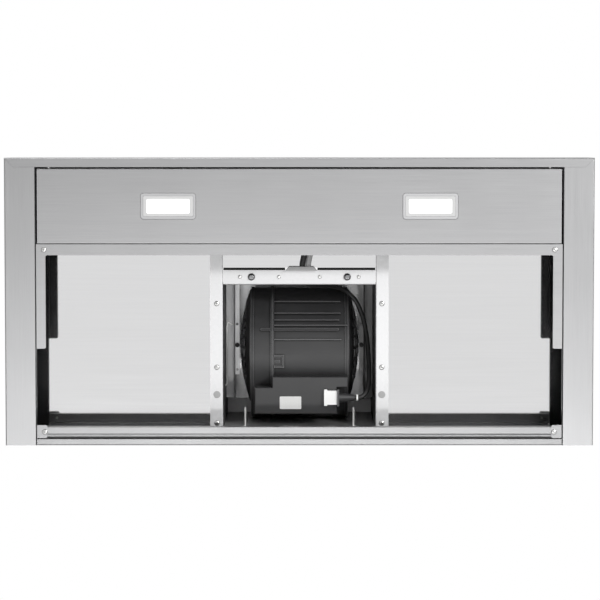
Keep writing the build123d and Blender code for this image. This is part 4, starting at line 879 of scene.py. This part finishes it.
class HOOD_OT_controls(bpy.types.Operator):
    """Finish the buttons and the box behind them"""

    bl_idname = "hood.controls"
    bl_label = "Controls"

    def execute(self, context):
        look = context.scene.hood_finishes
        dress(BUTTONS, moulded("button plastic", look.button, **BUTTON_SKIN))
        dress(["button_bezel"], moulded("bezel plastic", look.plastic, **BEZEL_SKIN))
        skin = {"roughness": look.plastic_roughness, "grain": look.plastic_grain}
        dress(["control_box"], moulded("box plastic", look.plastic, **skin))
        dress(["control_board"], lacquered_board(look))
        return {"FINISHED"}


class HOOD_OT_blower_box(bpy.types.Operator):
    """Finish the zinc-coated sheets of the blower box and its plugs"""

    bl_idname = "hood.blower_box"
    bl_label = "Blower box"

    def execute(self, context):
        look = context.scene.hood_finishes
        dull = look.dull_roughness
        dress(BRIGHT_ZINC, zinc_coat("bright zinc", look, look.zinc, look.zinc_roughness).material)
        dress(INNER_ZINC, zinc_coat("inner zinc", look, look.inner_zinc, dull).material)
        dress(["box_top"], zinc_coat("smooth zinc", look, look.top_zinc, look.top_roughness).material)
        dress(["blower_bracket_left"], zinc_coat("bracket zinc", look, look.bracket_zinc, dull).material)
        # The right rail takes a painted shade where the left one is lit
        dress(["blower_bracket_right"], zinc_coat("greased zinc", look, look.shaded_bracket_zinc, dull).material)
        dress(BOX_SIDES, box_side_zinc(look))
        dress(["hole_plugs"], moulded("grey plug", look.grey_plastic, **DISC_SKIN))
        dress(["strap_studs"], turned("dark stud", look.stud, GROUND_BLUR))
        dress(["rubber_buffers"], moulded("buffer rubber", look.rubber, **BUFFER_SKIN))
        return {"FINISHED"}


class HOOD_OT_blower(bpy.types.Operator):
    """Finish the scroll, guards, wheel, motor and outlet"""

    bl_idname = "hood.blower"
    bl_label = "Blower"

    def execute(self, context):
        look = context.scene.hood_finishes
        # The mouldings carry a painted highlight on their edges and painted shade in their corners
        dress((*BLOWER_MOULDINGS, *OUTLET_MOULDINGS), painted_highlight(look))
        dress(["motor"], cast_casing(look))
        dress(["motor_shaft", "damper_pin"], turned("ground shaft", look.shaft, GROUND_BLUR))
        return {"FINISHED"}


class HOOD_OT_leads(bpy.types.Operator):
    """Finish the leads, their plug, tie and grommet"""

    bl_idname = "hood.leads"
    bl_label = "Leads"

    def execute(self, context):
        look = context.scene.hood_finishes
        dress(["motor_cable", "control_lead"], moulded("lead rubber", look.rubber, **LEAD_SKIN))
        dress(["lamp_lead", "cable_grommet"], moulded("pale rubber", look.pale_rubber, **PALE_LEAD_SKIN))
        dress(["motor_plug", "cable_tie"], moulded("white plastic", look.white_plastic, **PLUG_SKIN))
        return {"FINISHED"}


class HOOD_OT_chimney(bpy.types.Operator):
    """Finish the two sleeves of the chimney"""

    bl_idname = "hood.chimney"
    bl_label = "Chimney"

    def execute(self, context):
        look = context.scene.hood_finishes
        dress(CHIMNEY_SHEETS, brushed("steel brushed upright", look, "Z").material)
        return {"FINISHED"}


class HOOD_OT_screws(bpy.types.Operator):
    """Make the screws and rivets with their recesses and threads"""

    bl_idname = "hood.screws"
    bl_label = "Screws and rivets"

    def execute(self, context):
        sizes = context.scene.hood_fasteners
        look = context.scene.hood_finishes
        bright = turned("bright screw", look.screw, SCREW_BLUR)
        # The second finish is the painted shade of the heads' rims and recesses
        finishes = [bright, turned("screw edge", look.screw_shade, SATIN_BLUR)]
        screw, rivet = screw_mesh(sizes), rivet_mesh(sizes)
        groups = (
            ("corner_screws", screw, sizes.screw_head, seated_below, "hood"),
            ("strip_screws", screw, sizes.screw_head, seated_below, "hood"),
            ("chimney_screws", screw, sizes.screw_head, seated_outside, "sliding_chimney"),
            ("strap_rivets", rivet, sizes.rivet_head, seated_below, "hood"),
        )
        for node, one, height, turn, body in groups:
            mesh = fastened(node, one, node, sizes.reach, height, turn)
            add_piece(f"{node}_detailed", mesh, finishes, body, "bright_screw", node)
        return {"FINISHED"}


class HOOD_OT_adjusters(bpy.types.Operator):
    """Make the threaded adjusting screws with their hexagon nuts"""

    bl_idname = "hood.adjusters"
    bl_label = "Adjusting screws"

    def execute(self, context):
        sizes = context.scene.hood_fasteners
        points = points_of("adjusting_screws")
        shape = bmesh.new()
        for side in (-1, 1):
            add_adjuster(shape, sizes, [point for point in points if point.x * side > 0])
        mesh = to_mesh("adjusting screws", shape)
        bright = turned("bright adjuster", context.scene.hood_finishes.screw, SCREW_BLUR)
        add_piece("adjusting_screws_threaded", mesh, [bright], "hood", "bright_screw", "adjusting_screws")
        return {"FINISHED"}


class HOOD_OT_seal(bpy.types.Operator):
    """Lay the black foam strip in the slot in front of the strap"""

    bl_idname = "hood.seal"
    bl_label = "Slot seal"

    def execute(self, context):
        sizes = context.scene.hood_fasteners
        look = context.scene.hood_finishes
        strap_low, strap_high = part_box("cross_strap")
        grommet_low, grommet_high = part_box("cable_grommet")
        gap = sizes.seal_gap
        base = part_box("roof_panel")[0].z
        slot = (slot_front(strap_low.y) + gap, strap_low.y - gap)
        section = domed_section(slot, base, sizes.seal_height)
        shape = bmesh.new()
        prism(shape, section, strap_low.x + gap, grommet_low.x - gap)
        prism(shape, section, grommet_high.x + gap, strap_high.x - gap)
        # The black strip darkens the slot in front of the strap
        foam = moulded("foam", look.rubber, **FOAM_SKIN)
        add_piece("slot_seal", to_mesh("slot seal", shape), [foam], "hood", "black_rubber")
        return {"FINISHED"}


class HOOD_OT_wire_clip(bpy.types.Operator):
    """Hang the wire clip on the left wall of the blower box"""

    bl_idname = "hood.wire_clip"
    bl_label = "Wire clip"

    def execute(self, context):
        sizes = context.scene.hood_fasteners
        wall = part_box("box_top")[0].x + sizes.clip_gap
        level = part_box("rubber_buffers")[0].z - sizes.clip_drop
        run = wall + 2 * sizes.clip_wire
        points = [(wall + out, y, level) for out, y in CLIP_HOOK]
        points += [(run, y, level) for y in CLIP_RUN]
        points.append((wall, CLIP_FOOT, level))
        shape = bmesh.new()
        tube(shape, points, sizes.clip_wire, sizes.facets // 2)
        wire = moulded("coated wire", context.scene.hood_finishes.white_plastic, **WIRE_SKIN)
        add_piece("wire_clip", to_mesh("wire clip", shape), [wire], "hood", "shaft_steel")
        return {"FINISHED"}


class HOOD_OT_sticker(bpy.types.Operator):
    """Put the blank sticker on the face of the terminal box"""

    bl_idname = "hood.sticker"
    bl_label = "Sticker"

    def execute(self, context):
        sizes = context.scene.hood_fasteners
        plate = rounded_plate(
            sizes.sticker_width, sizes.sticker_depth, sizes.sticker_thickness, sizes.sticker_corner
        )
        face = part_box("terminal_box")[0].z
        moved(plate, Matrix.Translation((sizes.sticker_x, sizes.sticker_y, face)))
        add_piece("blank_sticker", plate, [paper(context.scene.hood_finishes)], "hood", "white_plastic")
        return {"FINISHED"}


def lay_floor(studio):
    """Square floor far below, so that the hood can be looked at from beneath."""
    squares, patch_size, patch_swing, blur = 8, 1.5, 0.01, 0.85
    shape = bmesh.new()
    bmesh.ops.create_grid(shape, x_segments=squares, y_segments=squares, size=studio.floor_width / 2)
    mesh = to_mesh("floor", shape)
    finish = Finish("pale floor")
    finish.set("Base Color", finish.tones(finish.cloud(patch_size), studio.floor, patch_swing))
    finish.set("Roughness", blur)
    finish.set("Specular IOR Level", 0.0)
    mesh.materials.append(finish.material)
    floor = bpy.data.objects.new("floor", mesh)
    floor.location.z = -studio.floor_drop
    bpy.context.scene.collection.objects.link(floor)


def light_world(studio):
    """Even light on the hood, and a background that turns from the floor's tone to white."""
    world = bpy.data.worlds.new("studio")
    world.use_nodes = True
    bpy.context.scene.world = world
    tree = world.node_tree
    even, white = tree.nodes["Background"], tree.nodes.new("ShaderNodeBackground")
    for light in (even, white):
        light.inputs["Color"].default_value = (1.0, 1.0, 1.0, 1.0)
    even.inputs["Strength"].default_value = studio.ambient
    way = tree.nodes.new("ShaderNodeTexCoord").outputs["Generated"]
    split = tree.nodes.new("ShaderNodeSeparateXYZ")
    tree.links.new(way, split.inputs["Vector"])
    rise = tree.nodes.new("ShaderNodeMapRange")
    rise.interpolation_type = "SMOOTHSTEP"
    tree.links.new(split.outputs["Z"], rise.inputs["Value"])
    rise.inputs["From Max"].default_value = studio.horizon_rise
    rise.inputs["To Min"].default_value = studio.horizon
    tree.links.new(rise.outputs["Result"], white.inputs["Strength"])
    path = tree.nodes.new("ShaderNodeLightPath")
    seen = path.outputs["Is Camera Ray"]
    for kind in ("Is Glossy Ray", "Is Transmission Ray"):
        either = tree.nodes.new("ShaderNodeMath")
        either.operation = "ADD"
        either.use_clamp = True
        tree.links.new(seen, either.inputs[0])
        tree.links.new(path.outputs[kind], either.inputs[1])
        seen = either.outputs[0]
    mix = tree.nodes.new("ShaderNodeMixShader")
    tree.links.new(seen, mix.inputs["Fac"])
    tree.links.new(even.outputs["Background"], mix.inputs[1])
    tree.links.new(white.outputs["Background"], mix.inputs[2])
    tree.links.new(mix.outputs["Shader"], tree.nodes["World Output"].inputs["Surface"])


def aimed(place, target, up):
    """Placing of a lamp or camera that looks from a place to a target."""
    place, target = Vector(place), Vector(target)
    ahead = (target - place).normalized()
    right = ahead.cross(Vector(up)).normalized()
    above = right.cross(ahead)
    turn = Matrix((right, above, -ahead)).transposed().to_4x4()
    return Matrix.Translation(place) @ turn


def add_lamp(name, place, target, size, power):
    """Soft rectangular lamp."""
    light = bpy.data.lights.new(name, "AREA")
    light.shape = "RECTANGLE"
    light.size, light.size_y = size
    light.energy = power
    lamp = bpy.data.objects.new(name, light)
    lamp.matrix_world = aimed(place, target, (0.0, 0.0, 1.0))
    lamp.visible_camera = False
    bpy.context.scene.collection.objects.link(lamp)


def place_camera(studio):
    """Camera that looks up from straight below, with the front of the hood at the top of the picture."""
    data = bpy.data.cameras.new("camera")
    data.sensor_width = SENSOR_WIDTH
    data.lens = studio.lens
    data.clip_end = CAMERA_REACH
    camera = bpy.data.objects.new("camera", data)
    underside = CAD_BOX[0].z
    place = (0.0, studio.eye_y, underside - studio.eye_drop)
    camera.matrix_world = aimed(place, (studio.aim_x, studio.aim_y, underside), (0.0, -1.0, 0.0))
    bpy.context.scene.collection.objects.link(camera)
    bpy.context.scene.camera = camera


class HOOD_OT_studio(bpy.types.Operator):
    """Lay the floor and set the light and the camera"""

    bl_idname = "hood.studio"
    bl_label = "Studio"

    def execute(self, context):
        studio = context.scene.hood_studio
        lay_floor(studio)
        light_world(studio)
        targets = {
            "middle": (CAD_BOX[0] + CAD_BOX[1]) / 2,
            "underside": Vector((0.0, UNDERSIDE_Y, CAD_BOX[0].z)),
        }
        for name, place, target, size in LAMPS:
            add_lamp(f"{name} lamp", place, targets[target], size, getattr(studio, f"{name}_lamp"))
        place_camera(studio)
        context.scene.view_settings.view_transform = "Standard"
        return {"FINISHED"}


OPERATORS = (
    HOOD_OT_canopy,
    HOOD_OT_lamps,
    HOOD_OT_controls,
    HOOD_OT_blower_box,
    HOOD_OT_blower,
    HOOD_OT_leads,
    HOOD_OT_chimney,
    HOOD_OT_screws,
    HOOD_OT_adjusters,
    HOOD_OT_seal,
    HOOD_OT_wire_clip,
    HOOD_OT_sticker,
    HOOD_OT_studio,
)


class HOOD_PT_pieces(bpy.types.Panel):
    """The hood's pieces and their settings"""

    bl_label = "Range hood"
    bl_space_type = "VIEW_3D"
    bl_region_type = "UI"
    bl_category = "Range hood"

    def draw(self, context):
        for operator in OPERATORS:
            self.layout.operator(operator.bl_idname)
        for group in ("hood_finishes", "hood_fasteners", "hood_studio"):
            settings = getattr(context.scene, group)
            box = self.layout.box()
            for name in settings.__annotations__:
                box.prop(settings, name)


CLASSES = (HoodFinishes, HoodFasteners, HoodStudio, *OPERATORS, HOOD_PT_pieces)


def register():
    for kind in CLASSES:
        bpy.utils.register_class(kind)
    bpy.types.Scene.hood_finishes = PointerProperty(type=HoodFinishes)
    bpy.types.Scene.hood_fasteners = PointerProperty(type=HoodFasteners)
    bpy.types.Scene.hood_studio = PointerProperty(type=HoodStudio)


def unregister():
    del bpy.types.Scene.hood_studio
    del bpy.types.Scene.hood_fasteners
    del bpy.types.Scene.hood_finishes
    for kind in reversed(CLASSES):
        bpy.utils.unregister_class(kind)


def main():
    """Build every piece in order."""
    register()
    bpy.ops.hood.canopy()
    bpy.ops.hood.lamps()
    bpy.ops.hood.controls()
    bpy.ops.hood.blower_box()
    bpy.ops.hood.blower()
    bpy.ops.hood.leads()
    bpy.ops.hood.chimney()
    bpy.ops.hood.screws()
    bpy.ops.hood.adjusters()
    bpy.ops.hood.seal()
    bpy.ops.hood.wire_clip()
    bpy.ops.hood.sticker()
    bpy.ops.hood.studio()


if __name__ == "__main__":
    main()
